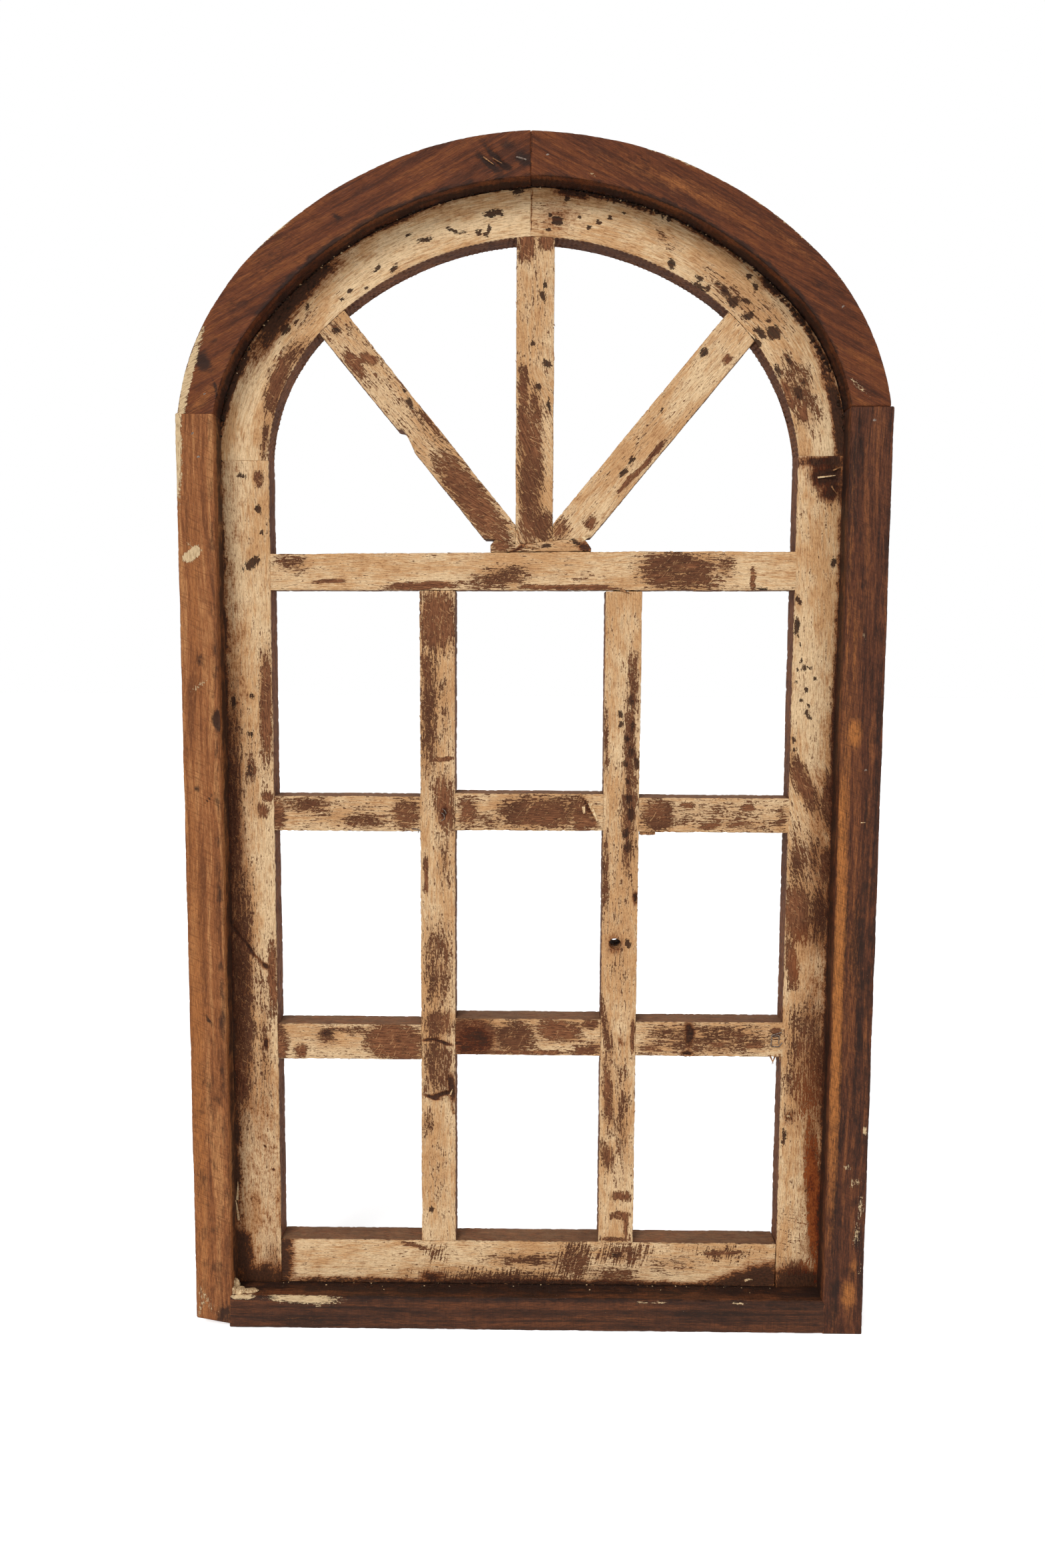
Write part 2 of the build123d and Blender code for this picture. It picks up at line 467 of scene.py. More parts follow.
@dataclass(frozen=True)
class Figure:
    """The patterns that a finish is made of, each spread evenly between 0 and 1."""

    fibre: Signal
    streak: Signal
    hair: Signal
    blotch: Signal
    crumb: Signal
    teeth: Signal
    cloud: Signal
    score: Signal
    front: Signal

    @classmethod
    def read(cls, graph: Graph, tooth_turn: float) -> "Figure":
        """Draw the patterns along the grain of the member.

        Args:
            graph: The material's graph.
            tooth_turn: Slant of the saw marks, in degrees from square across.

        Returns:
            The patterns.
        """
        grain = graph.attribute("grain", "Vector")

        def even(
            scale: Triple, detail: float, rough: float, turn: float = 0
        ) -> Signal:
            """Noise along the grain, spread evenly."""
            return graph.noise(graph.stretched(grain, scale, turn), detail, rough, 0.2).step(0.3, 0.7)

        scored = graph.noise(graph.stretched(grain, (520, 110, 40), -36.0), 3, 0.6, 1.6)
        behind = graph.node("ShaderNodeSeparateXYZ", inputs={"Vector": grain}, output="Z")
        return cls(
            fibre=even((62, 560, 300), 3, 0.62),
            streak=even((160, 1150, 700), 3, 0.65),
            hair=even((70, 3000, 900), 2, 0.6),
            blotch=even((60, 95, 80), 4, 0.62),
            crumb=even((430, 560, 400), 3, 0.65),
            teeth=even((900, 60, 60), 2, 0.5, tooth_turn),
            cloud=even((10, 34, 20), 2, 0.5),
            score=scored.step(0.6, 0.68),
            front=behind.step(0.0025, 0.001),
        )

    @property
    def pattern(self) -> Signal:
        """The order in which a finish wears away along the grain."""
        return self.fibre * 0.30 + self.streak * 0.30 + self.crumb * 0.22 + self.blotch * 0.18


@dataclass(frozen=True)
class ChippedPaint:
    """Old cream paint over brown pine, rubbed through along the grain and chipped."""

    cream: str = "C99B6B"
    cream_light: str = "E6C79C"
    cream_stain: str = "80502C"
    thin: str = "9A6B44"
    wood: str = "6B3F28"
    wood_light: str = "93603F"
    wood_dark: str = "331C12"
    dust: str = "86664A"
    orange: str = "8E4A20"
    # Near-black dirt, also used as painted shade along the outer edges of the sash.
    dirt: str = "20130B"
    grease_and_shade: str = "A0704A"
    pit: str = "1F120C"

    def material(self, name: str) -> bpy.types.Material:
        """The paint as a material that reads the grain and wear of its member.

        Args:
            name: What the material is called.

        Returns:
            The material.
        """
        graph = Graph.of_material(name)
        figure = Figure.read(graph, -12.0)
        pattern = figure.pattern
        bare = graph.attribute(Wear.BARE.value)
        rubbed = graph.attribute(Wear.RUBBED.value)
        sawn = graph.attribute(Wear.SAWN.value)
        chip = graph.attribute(Wear.CHIP.value)
        grime_and_shade = graph.attribute(Wear.GRIME_AND_SHADE.value)
        gold_and_highlight = graph.attribute(Wear.GOLD_AND_HIGHLIGHT.value)

        chipping = bare * 1.12 - 0.62 - (pattern - 0.5) * 1.3
        rubbing = rubbed * 0.74 - pattern
        crests = figure.teeth * 0.45 + figure.fibre * 0.2 + figure.crumb * 0.35
        hatching = sawn * 0.6 - crests
        nearest = chipping.over(rubbing).over(hatching)
        gone = nearest.step(-0.02, 0.02)
        thinned = nearest.step(-0.2, 0.0) * (figure.hair * 0.5 + 0.35)

        tone = figure.cloud * 0.4 + figure.fibre * 0.35 + figure.blotch * 0.25
        paint = graph.layered(
            colour(self.cream),
            (tone.step(0.75, 0.25), self.cream_light),
            (figure.streak.step(0.6, 1.0) * 0.55, self.cream_stain),
            (figure.hair.step(0.6, 1.0) * 0.5, self.cream_stain),
            (figure.teeth.step(0.6, 1.0) * 0.09, self.cream_stain),
            (thinned, self.thin),
        )
        normal = graph.node("ShaderNodeNewGeometry", output="Normal")
        upward = graph.node("ShaderNodeSeparateXYZ", inputs={"Vector": normal}, output="Z")
        wood = graph.layered(
            colour(self.wood_light),
            (figure.fibre, self.wood),
            (figure.streak.step(0.45, 0.95) * 0.7, self.wood_dark),
            (figure.hair.step(0.55, 1.0) * 0.5, self.wood_dark),
            (figure.cloud.step(0.3, 1.0) * 0.4, self.wood_dark),
            (bare.step(0.85, 0.45) * 0.45, self.wood_dark),
            (figure.score * figure.front * 0.62, self.cream),
            (gold_and_highlight, self.orange),
            (upward.step(0.5, 0.9) * (figure.blotch * 0.5 + figure.streak * 0.3), self.dust),
        )
        base = graph.mix(gone, paint, wood)

        patchy = (figure.blotch - 0.5) * 0.35 + (pattern - 0.5) * 0.6 + (figure.crumb - 0.5) * 0.35
        # The grease film and the dark crust are dirt. Along the outer edges of the stiles and the left
        # arch they are also painted shade from the outer frame.
        film_and_shade = (grime_and_shade * 1.1 + patchy * 0.7).step(0.0, 0.7)
        crust_and_shade = (grime_and_shade * 1.1 + patchy).step(0.5, 0.82)
        base = graph.mix(film_and_shade * 0.95, base, colour(self.grease_and_shade), "MULTIPLY")
        soil_and_shade = graph.mix(figure.crumb * 0.32, colour(self.dirt), colour(self.wood))
        base = graph.mix(crust_and_shade * 0.94, base, soil_and_shade)
        ragged = (figure.crumb - 0.5) * 0.55 + (figure.streak - 0.5) * 0.5
        pit = (chip * 1.15 - 0.64 + ragged).step(-0.05, 0.06)
        hollow = graph.mix(figure.fibre * 0.35, colour(self.pit), colour(self.wood))
        base = graph.mix(pit * 0.95, base, hollow)
        gone = gone.over(pit)

        rough = 0.62 + gone * 0.16
        relief = (
            (1 - gone) * 0.42
            + (1 - figure.hair) * 0.10
            + (1 - figure.streak) * 0.14
            + (1 - figure.fibre) * 0.14
            + figure.teeth * 0.04
            + figure.crumb * 0.12
        )
        return graph.surface(base, rough, relief, PAINT_RELIEF)


@dataclass(frozen=True)
class StainedWood:
    """Dark stained wood, darker along its open grain, with stray paint and scuffs."""

    middle: str
    light: str
    dark: str
    # Orange of clean worn wood, also a painted highlight along the inner arris of the right jamb.
    glow: str = "AE6E3C"
    # Near-black of soot, also used as the painted shade on the reveals that face the sash.
    char_and_shade: str = "291A14"
    cream: str = "D9BC92"
    cream_stain: str = "8F6A48"
    dust: str = "A58C74"
    tooth_turn: float = -25.0
    tooth_depth: float = 0.35

    def material(self, name: str) -> bpy.types.Material:
        """The stain as a material that reads the grain and wear of its member.

        Args:
            name: What the material is called.

        Returns:
            The material.
        """
        graph = Graph.of_material(name)
        figure = Figure.read(graph, self.tooth_turn)
        pattern = figure.pattern
        grain = graph.attribute("grain", "Vector")
        grime_and_shade = graph.attribute(Wear.GRIME_AND_SHADE.value)
        gold_and_highlight = graph.attribute(Wear.GOLD_AND_HIGHLIGHT.value)
        cream = graph.attribute(Wear.CREAM.value)
        band = graph.noise(graph.stretched(grain, (7, 170, 60)), 3, 0.6, 0.6).step(0.32, 0.68)

        tone = band * 0.5 + figure.fibre * 0.28 + figure.cloud * 0.22
        pores = graph.noise(graph.stretched(grain, (250, 2300, 900)), 2, 0.6)
        grit = graph.noise(graph.stretched(grain, (300, 380, 300)), 4, 0.75)
        # Soot darkens the wood towards char: real soot and dirt on the front, and painted shade on the
        # reveals that face the sash.
        soot_and_shade = (grime_and_shade * 1.1 + (figure.blotch - 0.5) * 0.4 + (pattern - 0.5) * 0.4).step(0.3, 0.95)
        base = graph.layered(
            colour(self.light),
            (tone.step(0.15, 0.52), self.middle),
            (tone.step(0.45, 0.85), self.dark),
            # Clean orange wood, and along the inner arris of the right jamb a painted highlight.
            ((gold_and_highlight * 0.9 - pattern * 0.36).step(0.0, 0.5), self.glow),
            (figure.streak.step(0.5, 1.0) * 0.45, self.dark),
            (figure.hair.step(0.55, 1.0) * 0.75, self.dark),
            (figure.teeth.step(0.6, 1.0) * self.tooth_depth, self.dark),
            (pores.step(0.57, 0.68) * 0.6, self.dark),
            (pores.step(0.43, 0.32) * 0.45, self.light),
            (soot_and_shade * 0.9, self.char_and_shade),
            ((grit + figure.blotch * 0.1).step(0.74, 0.84) * 0.5, self.dust),
        )
        scratchy = figure.crumb * 0.4 + figure.streak * 0.3 + figure.hair * 0.3
        lap = (cream - 0.5 - (scratchy - 0.5) * 0.9).step(-0.03, 0.03)
        paint = graph.mix(figure.streak.step(0.4, 1.0) * 0.6, colour(self.cream), colour(self.cream_stain))
        base = graph.mix(lap, base, paint)

        rough = 0.5 + figure.blotch * 0.12 + lap * 0.12
        relief = (
            lap * 0.35
            + (1 - figure.hair) * 0.22
            + (1 - figure.streak) * 0.2
            + (1 - figure.fibre) * 0.22
            + figure.crumb * 0.12
            + (1 - pores) * 0.2
            + (1 - figure.teeth) * 0.12
        )
        return graph.surface(base, rough, relief, STAIN_RELIEF)


@dataclass(frozen=True)
class WeatheredMetal:
    """Dull bare steel of nails and staples, speckled with rust."""

    steel: str = "7D7064"
    rust: str = "4A2C1E"
    metallic: float = 0.35

    def material(self, name: str) -> bpy.types.Material:
        """The metal as a material on object coordinates.

        Args:
            name: What the material is called.

        Returns:
            The material.
        """
        graph = Graph.of_material(name)
        place = graph.node("ShaderNodeTexCoord", output="Object")
        bloom = graph.noise(graph.stretched(place, (900, 900, 900)), 3, 0.6)
        base = graph.mix(bloom.step(0.42, 0.66), colour(self.steel), colour(self.rust))
        rough = 0.4 + bloom * 0.3
        return graph.surface(base, rough, bloom, METAL_RELIEF, METAL_SPECULAR, self.metallic)


@dataclass(frozen=True)
class Flake:
    """A splinter's raw wood, a curl's paint, putty or dirt, streaked along its length."""

    face: str
    shade: str

    def material(self, name: str) -> bpy.types.Material:
        """The flake as a material on object coordinates.

        Args:
            name: What the material is called.

        Returns:
            The material.
        """
        graph = Graph.of_material(name)
        place = graph.node("ShaderNodeTexCoord", output="Object")
        streak = graph.noise(graph.stretched(place, (900, 900, 500)), 3, 0.65).step(0.35, 0.68)
        base = graph.mix(streak, colour(self.face), colour(self.shade))
        return graph.surface(base, 0.7, streak, FLAKE_RELIEF)


Finish = Union[ChippedPaint, StainedWood, WeatheredMetal, Flake]
Look = tuple[str, Finish]


class Palette:
    """Makes each finish a material once and hands it out again after that."""

    def __init__(self) -> None:
        """Start with nothing made."""
        self.made: dict[str, bpy.types.Material] = {}

    def material(self, look: Look) -> bpy.types.Material:
        """The material of a look, made at the first call.

        Args:
            look: Name of the material and its finish.

        Returns:
            The material.
        """
        name, finish = look
        if name not in self.made:
            self.made[name] = finish.material(name)
        return self.made[name]


# Courses that the members follow


@dataclass(frozen=True)
class ArchLine:
    """Half of a three-centred arch line with the upright below its springing.

    The haunch is struck from a centre on the springing level and the crown from a lower centre
    on the axis, and both arcs are tangent where they meet.
    """

    side: int
    axis: float
    springing: float
    half_width: float
    haunch_offset: float
    crown_centre: float

    @property
    def haunch_radius(self) -> float:
        """Radius of the haunch."""
        return self.half_width - self.side * self.axis - self.haunch_offset

    @property
    def crown_radius(self) -> float:
        """Radius of the crown."""
        return self.haunch_radius + math.hypot(self.haunch_offset, self.drop)

    @property
    def drop(self) -> float:
        """How far the crown centre lies below the springing."""
        return self.springing - self.crown_centre

    @property
    def lean(self) -> float:
        """Angle from upright at which the two arcs meet."""
        return math.atan2(self.haunch_offset, self.drop)

    def at(self, angle: np.ndarray) -> tuple[np.ndarray, np.ndarray]:
        """Points of the line.

        Args:
            angle: Their angles from upright.

        Returns:
            Their x and their z.
        """
        on_crown = angle < self.lean
        out = np.where(
            on_crown,
            self.crown_radius * np.sin(angle),
            self.haunch_offset + self.haunch_radius * np.sin(angle),
        )
        up = np.where(
            on_crown,
            self.crown_centre + self.crown_radius * np.cos(angle),
            self.springing + self.haunch_radius * np.cos(angle),
        )
        return self.axis + self.side * out, up

    def trace(self, joint_x: float, level: float) -> tuple[np.ndarray, np.ndarray, np.ndarray]:
        """Close points along the line from its foot to the crown joint.

        Args:
            joint_x: Where the crown joint crosses the line.
            level: Height at which the line starts.

        Returns:
            Share of the way up, x and z of each point.
        """
        inwards = self.side * (joint_x - self.axis)
        top = math.atan2(inwards, math.sqrt(self.crown_radius**2 - inwards**2))
        x, z = self.at(np.linspace(math.pi / 2, top, 600))
        x = np.concatenate([x[:1], x])
        z = np.concatenate([[0.0], z])
        start = np.interp(level, z[: len(z) // 2], x[: len(x) // 2])
        above = z > level
        x = np.concatenate([[start], x[above]])
        z = np.concatenate([[level], z[above]])
        run = np.concatenate([[0.0], np.cumsum(np.hypot(np.diff(x), np.diff(z)))])
        return run / run[-1], x, z

    def encloses(self, x: np.ndarray, z: np.ndarray) -> np.ndarray:
        """Whether points above the springing are inside the line.

        Args:
            x: The x of each point.
            z: Its z.

        Returns:
            Yes or no for each point.
        """
        out = self.side * (x - self.axis)
        from_crown = np.hypot(out, z - self.crown_centre)
        from_haunch = np.hypot(out - self.haunch_offset, z - self.springing)
        on_crown = np.arctan2(out, z - self.crown_centre) < self.lean
        return np.where(on_crown, from_crown < self.crown_radius, from_haunch < self.haunch_radius)


@dataclass
class StraightCourse:
    """A straight member, headed so many degrees clockwise from upright.

    The edges are given as distances across, which may change along the member.
    """

    foot: tuple[float, float]
    heading: float
    length: float
    near: Profile
    far: Profile

    def ends(self, across: np.ndarray) -> tuple[np.ndarray, np.ndarray]:
        """Where the member starts and stops at each distance across, here square."""
        return np.zeros_like(across), np.full_like(across, self.length)

    def lay(self, along: np.ndarray, share: np.ndarray) -> tuple[np.ndarray, ...]:
        """Put points of the flat board in their place.

        Args:
            along: Distance of each point along the board.
            share: How far each is from the near edge, 0, to the far edge, 1.

        Returns:
            The x and z of each point and its true distances along and across.
        """
        near = np.interp(along, *zip(*self.near))
        far = np.interp(along, *zip(*self.far))
        across = near + (far - near) * share
        start, stop = self.ends(across)
        run = start + (stop - start) * along / self.length
        angle = math.radians(self.heading)
        x = self.foot[0] + run * math.sin(angle) + across * math.cos(angle)
        z = self.foot[1] + run * math.cos(angle) - across * math.sin(angle)
        return x, z, run, across


@dataclass
class WornFoot(StraightCourse):
    """The course of the left jamb, whose foot is worn away on the slant."""

    toe: float = 7.0
    heel: float = 1.5

    def ends(self, across: np.ndarray) -> tuple[np.ndarray, np.ndarray]:
        """Where the slanting foot and the square head are.

        Args:
            across: Distances across.

        Returns:
            Start and stop at each of them.
        """
        near = self.near[0][1]
        far = self.far[0][1]
        start = self.toe + (self.heel - self.toe) * (across - near) / (far - near)
        return start, np.full_like(across, self.length)


@dataclass
class FanCourse(StraightCourse):
    """A fan bar, cut over the packer and the centre bar and coped to the arch."""

    arch: Optional[ArchLine] = None
    packer_top: Profile = ()
    stop_x: float = 0.0
    below: float = -30.0
    between: float = 60.0

    def ends(self, across: np.ndarray) -> tuple[np.ndarray, np.ndarray]:
        """Where the bar leaves the packer or centre bar and where it meets the arch.

        Args:
            across: Distances across.

        Returns:
            Start and stop at each of them.
        """
        side = math.copysign(1, self.heading) if self.heading else 0

        def clear(x: np.ndarray, z: np.ndarray) -> np.ndarray:
            """Whether each point is clear of the packer and of the centre bar."""
            above = z > np.interp(x, *zip(*self.packer_top))
            return above & (side * x >= side * self.stop_x) if side else above

        foot = self.search(across, (self.below, self.between), clear, False)
        head = self.search(across, (self.between, 2 * self.length), self.arch.encloses, True)
        return foot, head

    def search(
        self,
        across: np.ndarray,
        way: tuple[float, float],
        test: Callable[[np.ndarray, np.ndarray], np.ndarray],
        inside_first: bool,
    ) -> np.ndarray:
        """Halve the way until the place is found where a test of x and z changes.

        Args:
            across: Distance across of each point.
            way: Least and furthest distance along.
            test: Takes x and z and says yes or no.
            inside_first: Whether the test says yes at the start of the way.

        Returns:
            Distance along of the change at each point.
        """
        angle = math.radians(self.heading)
        low = np.full_like(across, way[0])
        high = np.full_like(across, way[1])
        for _ in range(40):
            middle = (low + high) / 2
            x = self.foot[0] + middle * math.sin(angle) + across * math.cos(angle)
            z = self.foot[1] + middle * math.cos(angle) - across * math.sin(angle)
            before = test(x, z) == inside_first
            low = np.where(before, middle, low)
            high = np.where(before, high, middle)
        return low


@dataclass
class ArchCourse:
    """A curved member between two arch lines, run clockwise as seen from the front."""

    outer: ArchLine
    inner: ArchLine
    joint_x: float
    level: float
    chord: bool = False
    grain_rise: float = 28.0
    length: float = field(init=False)

    def __post_init__(self) -> None:
        """Trace both edges once."""
        self.outer_trace = self.outer.trace(self.joint_x, self.level)
        self.inner_trace = self.inner.trace(self.joint_x, self.level)
        runs = [
            np.sum(np.hypot(np.diff(x), np.diff(z)))
            for _, x, z in (self.outer_trace, self.inner_trace)
        ]
        self.length = float(sum(runs) / 2)

    def lay(self, along: np.ndarray, share: np.ndarray) -> tuple[np.ndarray, ...]:
        """Put points of the flat board in their place, as a straight course does.

        Args:
            along: Distance of each point along the board.
            share: How far each is from the outer edge, 0, to the inner edge, 1.

        Returns:
            The x and z of each point and its true distances along and across.
        """
        up = along / self.length
        if self.outer.side > 0:
            up = 1 - up
        outer_x = np.interp(up, self.outer_trace[0], self.outer_trace[1])
        outer_z = np.interp(up, self.outer_trace[0], self.outer_trace[2])
        inner_x = np.interp(up, self.inner_trace[0], self.inner_trace[1])
        inner_z = np.interp(up, self.inner_trace[0], self.inner_trace[2])
        x = outer_x + (inner_x - outer_x) * share
        z = outer_z + (inner_z - outer_z) * share
        breadth = np.hypot(inner_x - outer_x, inner_z - outer_z)
        return x, z, along, (share - 0.5) * breadth

    def chord_grain(self, x: np.ndarray, z: np.ndarray) -> tuple[np.ndarray, np.ndarray]:
        """Distances along and across the straight grain of the board an arch is sawn from."""
        angle = -self.outer.side * math.radians(self.grain_rise)
        return (
            x * math.cos(angle) + z * math.sin(angle),
            x * math.sin(angle) - z * math.cos(angle),
        )


Course = Union[StraightCourse, FanCourse, ArchCourse]


# Members

CROSS_PITCH = 1.8
DEPTH_PITCH = 2.6
RIPPLE_PITCH = 4.4


@dataclass
class Member:
    """One sawn member of the window.

    The width is that of its flat board, and the inner side is 1 if its far edge faces the
    lights. Rubbed is the wear of its paint all over, arris how far its edges are eased,
    ripple how deep the saw left marks in its far edge, pitch the length of its faces, laps
    how far its ends run into its neighbours and drift how its grain wanders sideways. A bore
    is a place along and across and the radius of mouth and throat.
    """

    node: str
    course: Course
    width: float
    look: Look
    slot: str
    marks: Marks = ()
    painted: bool = True
    inner_side: int = 1
    rubbed: float = 0.2
    arris: float = 0.7
    arris_wear: float = 0.9
    ripple: float = 0.0
    pitch: float = 1.8
    laps: tuple[float, float] = (0.5, 0.5)
    drift: Profile = ((0, 0),)
    bores: tuple[tuple[float, float, float, float], ...] = ()

    def __post_init__(self) -> None:
        """Take the planes of the front and back from the node."""
        low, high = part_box(self.node)
        self.front = low.y / MM
        self.depth = (high.y - low.y) / MM
        self.seed = sum(ord(letter) * (place + 1) for place, letter in enumerate(self.node)) % 97

    def build(self, palette: Palette) -> Piece:
        """Saw, bore, weather, lay and dress the member.

        Args:
            palette: Where the materials come from.

        Returns:
            The finished piece, riding on the frame in place of its node.
        """
        board = self.saw()
        for bore in self.bores:
            self.drill(board, *bore)
        self.weather(board)
        dress(board, palette.material(self.look))
        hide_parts(self.node)
        return board

    def spot(self, along: float, across: float, proud: float = 0.0) -> Vector:
        """The place in the frame of a point on the front.

        Args:
            along: True distance along the member, in millimetres.
            across: True distance across it.
            proud: How far in front of the face the point is.

        Returns:
            The point in metres.
        """
        run = np.array([float(along)])
        share = np.array([0.5])
        ends = np.array([0.0, self.course.length])
        for _ in range(3):
            _, _, _, near = self.course.lay(run, np.zeros(1))
            _, _, _, far = self.course.lay(run, np.ones(1))
            share = (across - near) / (far - near)
            _, _, reach, _ = self.course.lay(ends, np.repeat(share, 2))
            run = (along - reach[:1]) / (reach[1] - reach[0]) * self.course.length
        x, z, _, _ = self.course.lay(run, share)
        return Vector((x[0], self.front - proud, z[0])) * MM

    def saw(self) -> Piece:
        """Make a flat board with eased arrises, cut into a close net of faces.

        Returns:
            The board.
        """
        deselect_all()
        bpy.ops.mesh.primitive_cube_add(size=1.0, location=(0, 0, 0))
        board = newly_added(f"worn_{self.node}")
        length = self.course.length + sum(self.laps)
        bpy.ops.object.mode_set(mode="EDIT")
        bpy.ops.transform.resize(value=(length, self.depth, self.width), center_override=(0, 0, 0))
        bpy.ops.transform.translate(value=(length / 2 - self.laps[0], self.depth / 2, 0))
        bpy.ops.mesh.bevel(offset=self.arris, segments=2, affect="EDGES")
        self.slice(board, 0, length, self.pitch)
        self.slice(board, 2, self.width, CROSS_PITCH)
        self.slice(board, 1, self.depth, DEPTH_PITCH)
        bpy.ops.object.mode_set(mode="OBJECT")
        return board

    def slice(self, board: Piece, axis: int, extent: float, pitch: float) -> None:
        """Cut the long faces across one axis into strips about one pitch wide.

        Args:
            board: The board, in edit mode.
            axis: 0 for the length, 1 for the depth or 2 for the width.
            extent: Size of the board along that axis.
            pitch: About how wide the strips are.
        """
        pieces = max(2, round(extent / pitch))
        rounds = [pieces] if pieces <= 100 else [round(math.sqrt(pieces))] * 2
        span = extent
        for count in rounds:

            def runs_along(edge: bmesh.types.BMEdge) -> bool:
                """Whether an edge runs the whole of the span along the axis."""
                way = edge.verts[1].co - edge.verts[0].co
                return abs(way[axis]) > 0.9 * way.length and way.length > 0.6 * span

            pick_edges(board.data, runs_along)
            bpy.ops.mesh.subdivide(number_cuts=count - 1)
            span = span / count

    def drill(
        self, board: Piece, along: float, across: float, mouth: float, throat: float
    ) -> None:
        """Bore a ragged tapering hole right through the board.

        Args:
            board: The flat board.
            along: Place of the hole along it.
            across: Its place across.
            mouth: Radius in front.
            throat: Radius at the back.
        """
        deselect_all()
        bpy.ops.mesh.primitive_cone_add(
            vertices=18,
            radius1=throat,
            radius2=mouth,
            depth=self.depth + 2,
            location=(along, self.depth / 2, across),
            rotation=(math.radians(90), 0, 0),
        )
        bit = newly_added("bit")
        bpy.ops.object.transform_apply(location=True, rotation=True, scale=True)
        for vertex in bit.data.vertices:
            vertex.co.x += 0.45 * noise.noise(vertex.co * 1.7)
            vertex.co.z += 0.45 * noise.noise(vertex.co * 1.7 + Vector((9, 9, 9)))
        make_active(board)
        cut = board.modifiers.new("bore", "BOOLEAN")
        cut.operation = "DIFFERENCE"
        cut.solver = "EXACT"
        cut.object = bit
        bpy.ops.object.modifier_apply(modifier=cut.name)
        bpy.data.objects.remove(bit, do_unlink=True)

    def sunk(
        self, spots: np.ndarray, normals: np.ndarray, true_along: np.ndarray, true_across: np.ndarray
    ) -> np.ndarray:
        """How deep the surface of the board is worn.

        Args:
            spots: Flat coordinates of its vertices.
            normals: Their normals.
            true_along: Their true distances along the member.
            true_across: Their true distances across it.

        Returns:
            Millimetres of wear at each vertex, and none on the ends.
        """
        deep = spots[:, 1]
        sink = 0.13 + 0.13 * ripple_noise(spots, (0.025, 0.12, 0.16), self.seed)
        corner = np.clip((1 - np.max(np.abs(normals), axis=1)) / 0.29, 0, 1)
        bite = np.clip(0.25 + 1.3 * ripple_noise(spots, (0.11, 0.05, 0.05), self.seed + 31.7), 0, 1.4)
        sink += corner * bite * self.arris_wear
        sideways = np.abs(normals[:, 2])
        hollow = ripple_noise(spots, (0.035, 0.02, 0.01), self.seed + 7.3)
        sink += sideways * np.clip(0.15 + 0.4 * hollow, 0, 1)
        frayed = ripple_noise(spots, (0.3, 0.12, 0.12), self.seed + 17.9)
        sink += sideways * eased(frayed, 0.0, 0.6) * (0.7 if self.painted else 0.25)
        if self.ripple:
            wave = 0.5 + 0.5 * np.sin(2 * math.pi * (true_along + 0.08 * deep) / RIPPLE_PITCH)
            chatter = 0.6 + 0.4 * ripple_noise(spots, (0.05, 0.02, 0.02), self.seed + 3.1)
            sink += eased(normals[:, 2], 0.5, 0.9) * self.ripple * wave * chatter
        fronting = eased(-normals[:, 1], 0.2, 0.7)
        for mark in self.marks:
            if mark.dent:
                sink += fronting * mark.dent * mark.cover(true_along, true_across, DENT_FADE)
        return np.where(np.abs(normals[:, 0]) > 0.85, 0.0, sink)

    def weather(self, board: Piece) -> None:
        """Wear the flat board, note the wear and painted shade on its vertices and lay it on its course.

        Args:
            board: The flat board.
        """
        mesh = board.data
        spots = read_vectors(mesh, "co")
        normals = read_vectors(mesh, "normal")
        along, deep, across = spots.T
        _, _, true_along, true_across = self.course.lay(along, across / self.width + 0.5)
        sink = self.sunk(spots, normals, true_along, true_across)
        wear = self.wear_fields(true_along, true_across, deep, spots)
        moved = spots.copy()
        moved[:, 1] -= normals[:, 1] * sink
        moved[:, 2] -= normals[:, 2] * sink
        x, z, _, _ = self.course.lay(moved[:, 0], moved[:, 2] / self.width + 0.5)
        if isinstance(self.course, ArchCourse) and self.course.chord:
            run, cross = self.course.chord_grain(x, z)
        else:
            bow = 3.0 * ripple_noise(spots, (0.008, 0.0, 0.0), self.seed + 5.9)
            run = true_along
            cross = true_across + bow + np.interp(true_along, *zip(*self.drift))
        grain = np.column_stack([run + 37.0 * self.seed, cross + 11.0 * self.seed, deep])
        laid = np.column_stack([x, self.front + moved[:, 1], z]) * MM
        mesh.vertices.foreach_set("co", laid.ravel())
        for name, values in wear.items():
            mesh.attributes.new(name, "FLOAT", "POINT").data.foreach_set("value", values)
        held = mesh.attributes.new("grain", "FLOAT_VECTOR", "POINT")
        held.data.foreach_set("vector", (grain * MM).ravel())
        mesh.update()

    def wear_fields(
        self, along: np.ndarray, across: np.ndarray, deep: np.ndarray, spots: np.ndarray
    ) -> dict[str, np.ndarray]:
        """How much of each kind of wear, painted shade and painted highlight every vertex has.

        Args:
            along: True distance along the member.
            across: True distance across it.
            deep: Depth behind the front.
            spots: The flat coordinates, for the noise.

        Returns:
            One array for each kind of wear, by its name.
        """
        fields = {wear.value: np.zeros(len(along)) for wear in Wear}
        place = np.column_stack([along, across, deep])
        along = along + 2.2 * ripple_noise(place, (0.13, 0.13, 0.1), self.seed + 2.1)
        across = across + 1.1 * ripple_noise(place, (0.2, 0.2, 0.1), self.seed + 8.3)
        on_front = 1 - eased(deep, self.arris, self.arris + 2.5)
        for mark in self.marks:
            cover = mark.cover(along, across, mark.softness()) * mark.strength
            fields[mark.wear.value] = np.maximum(fields[mark.wear.value], cover * on_front)
        if not self.painted:
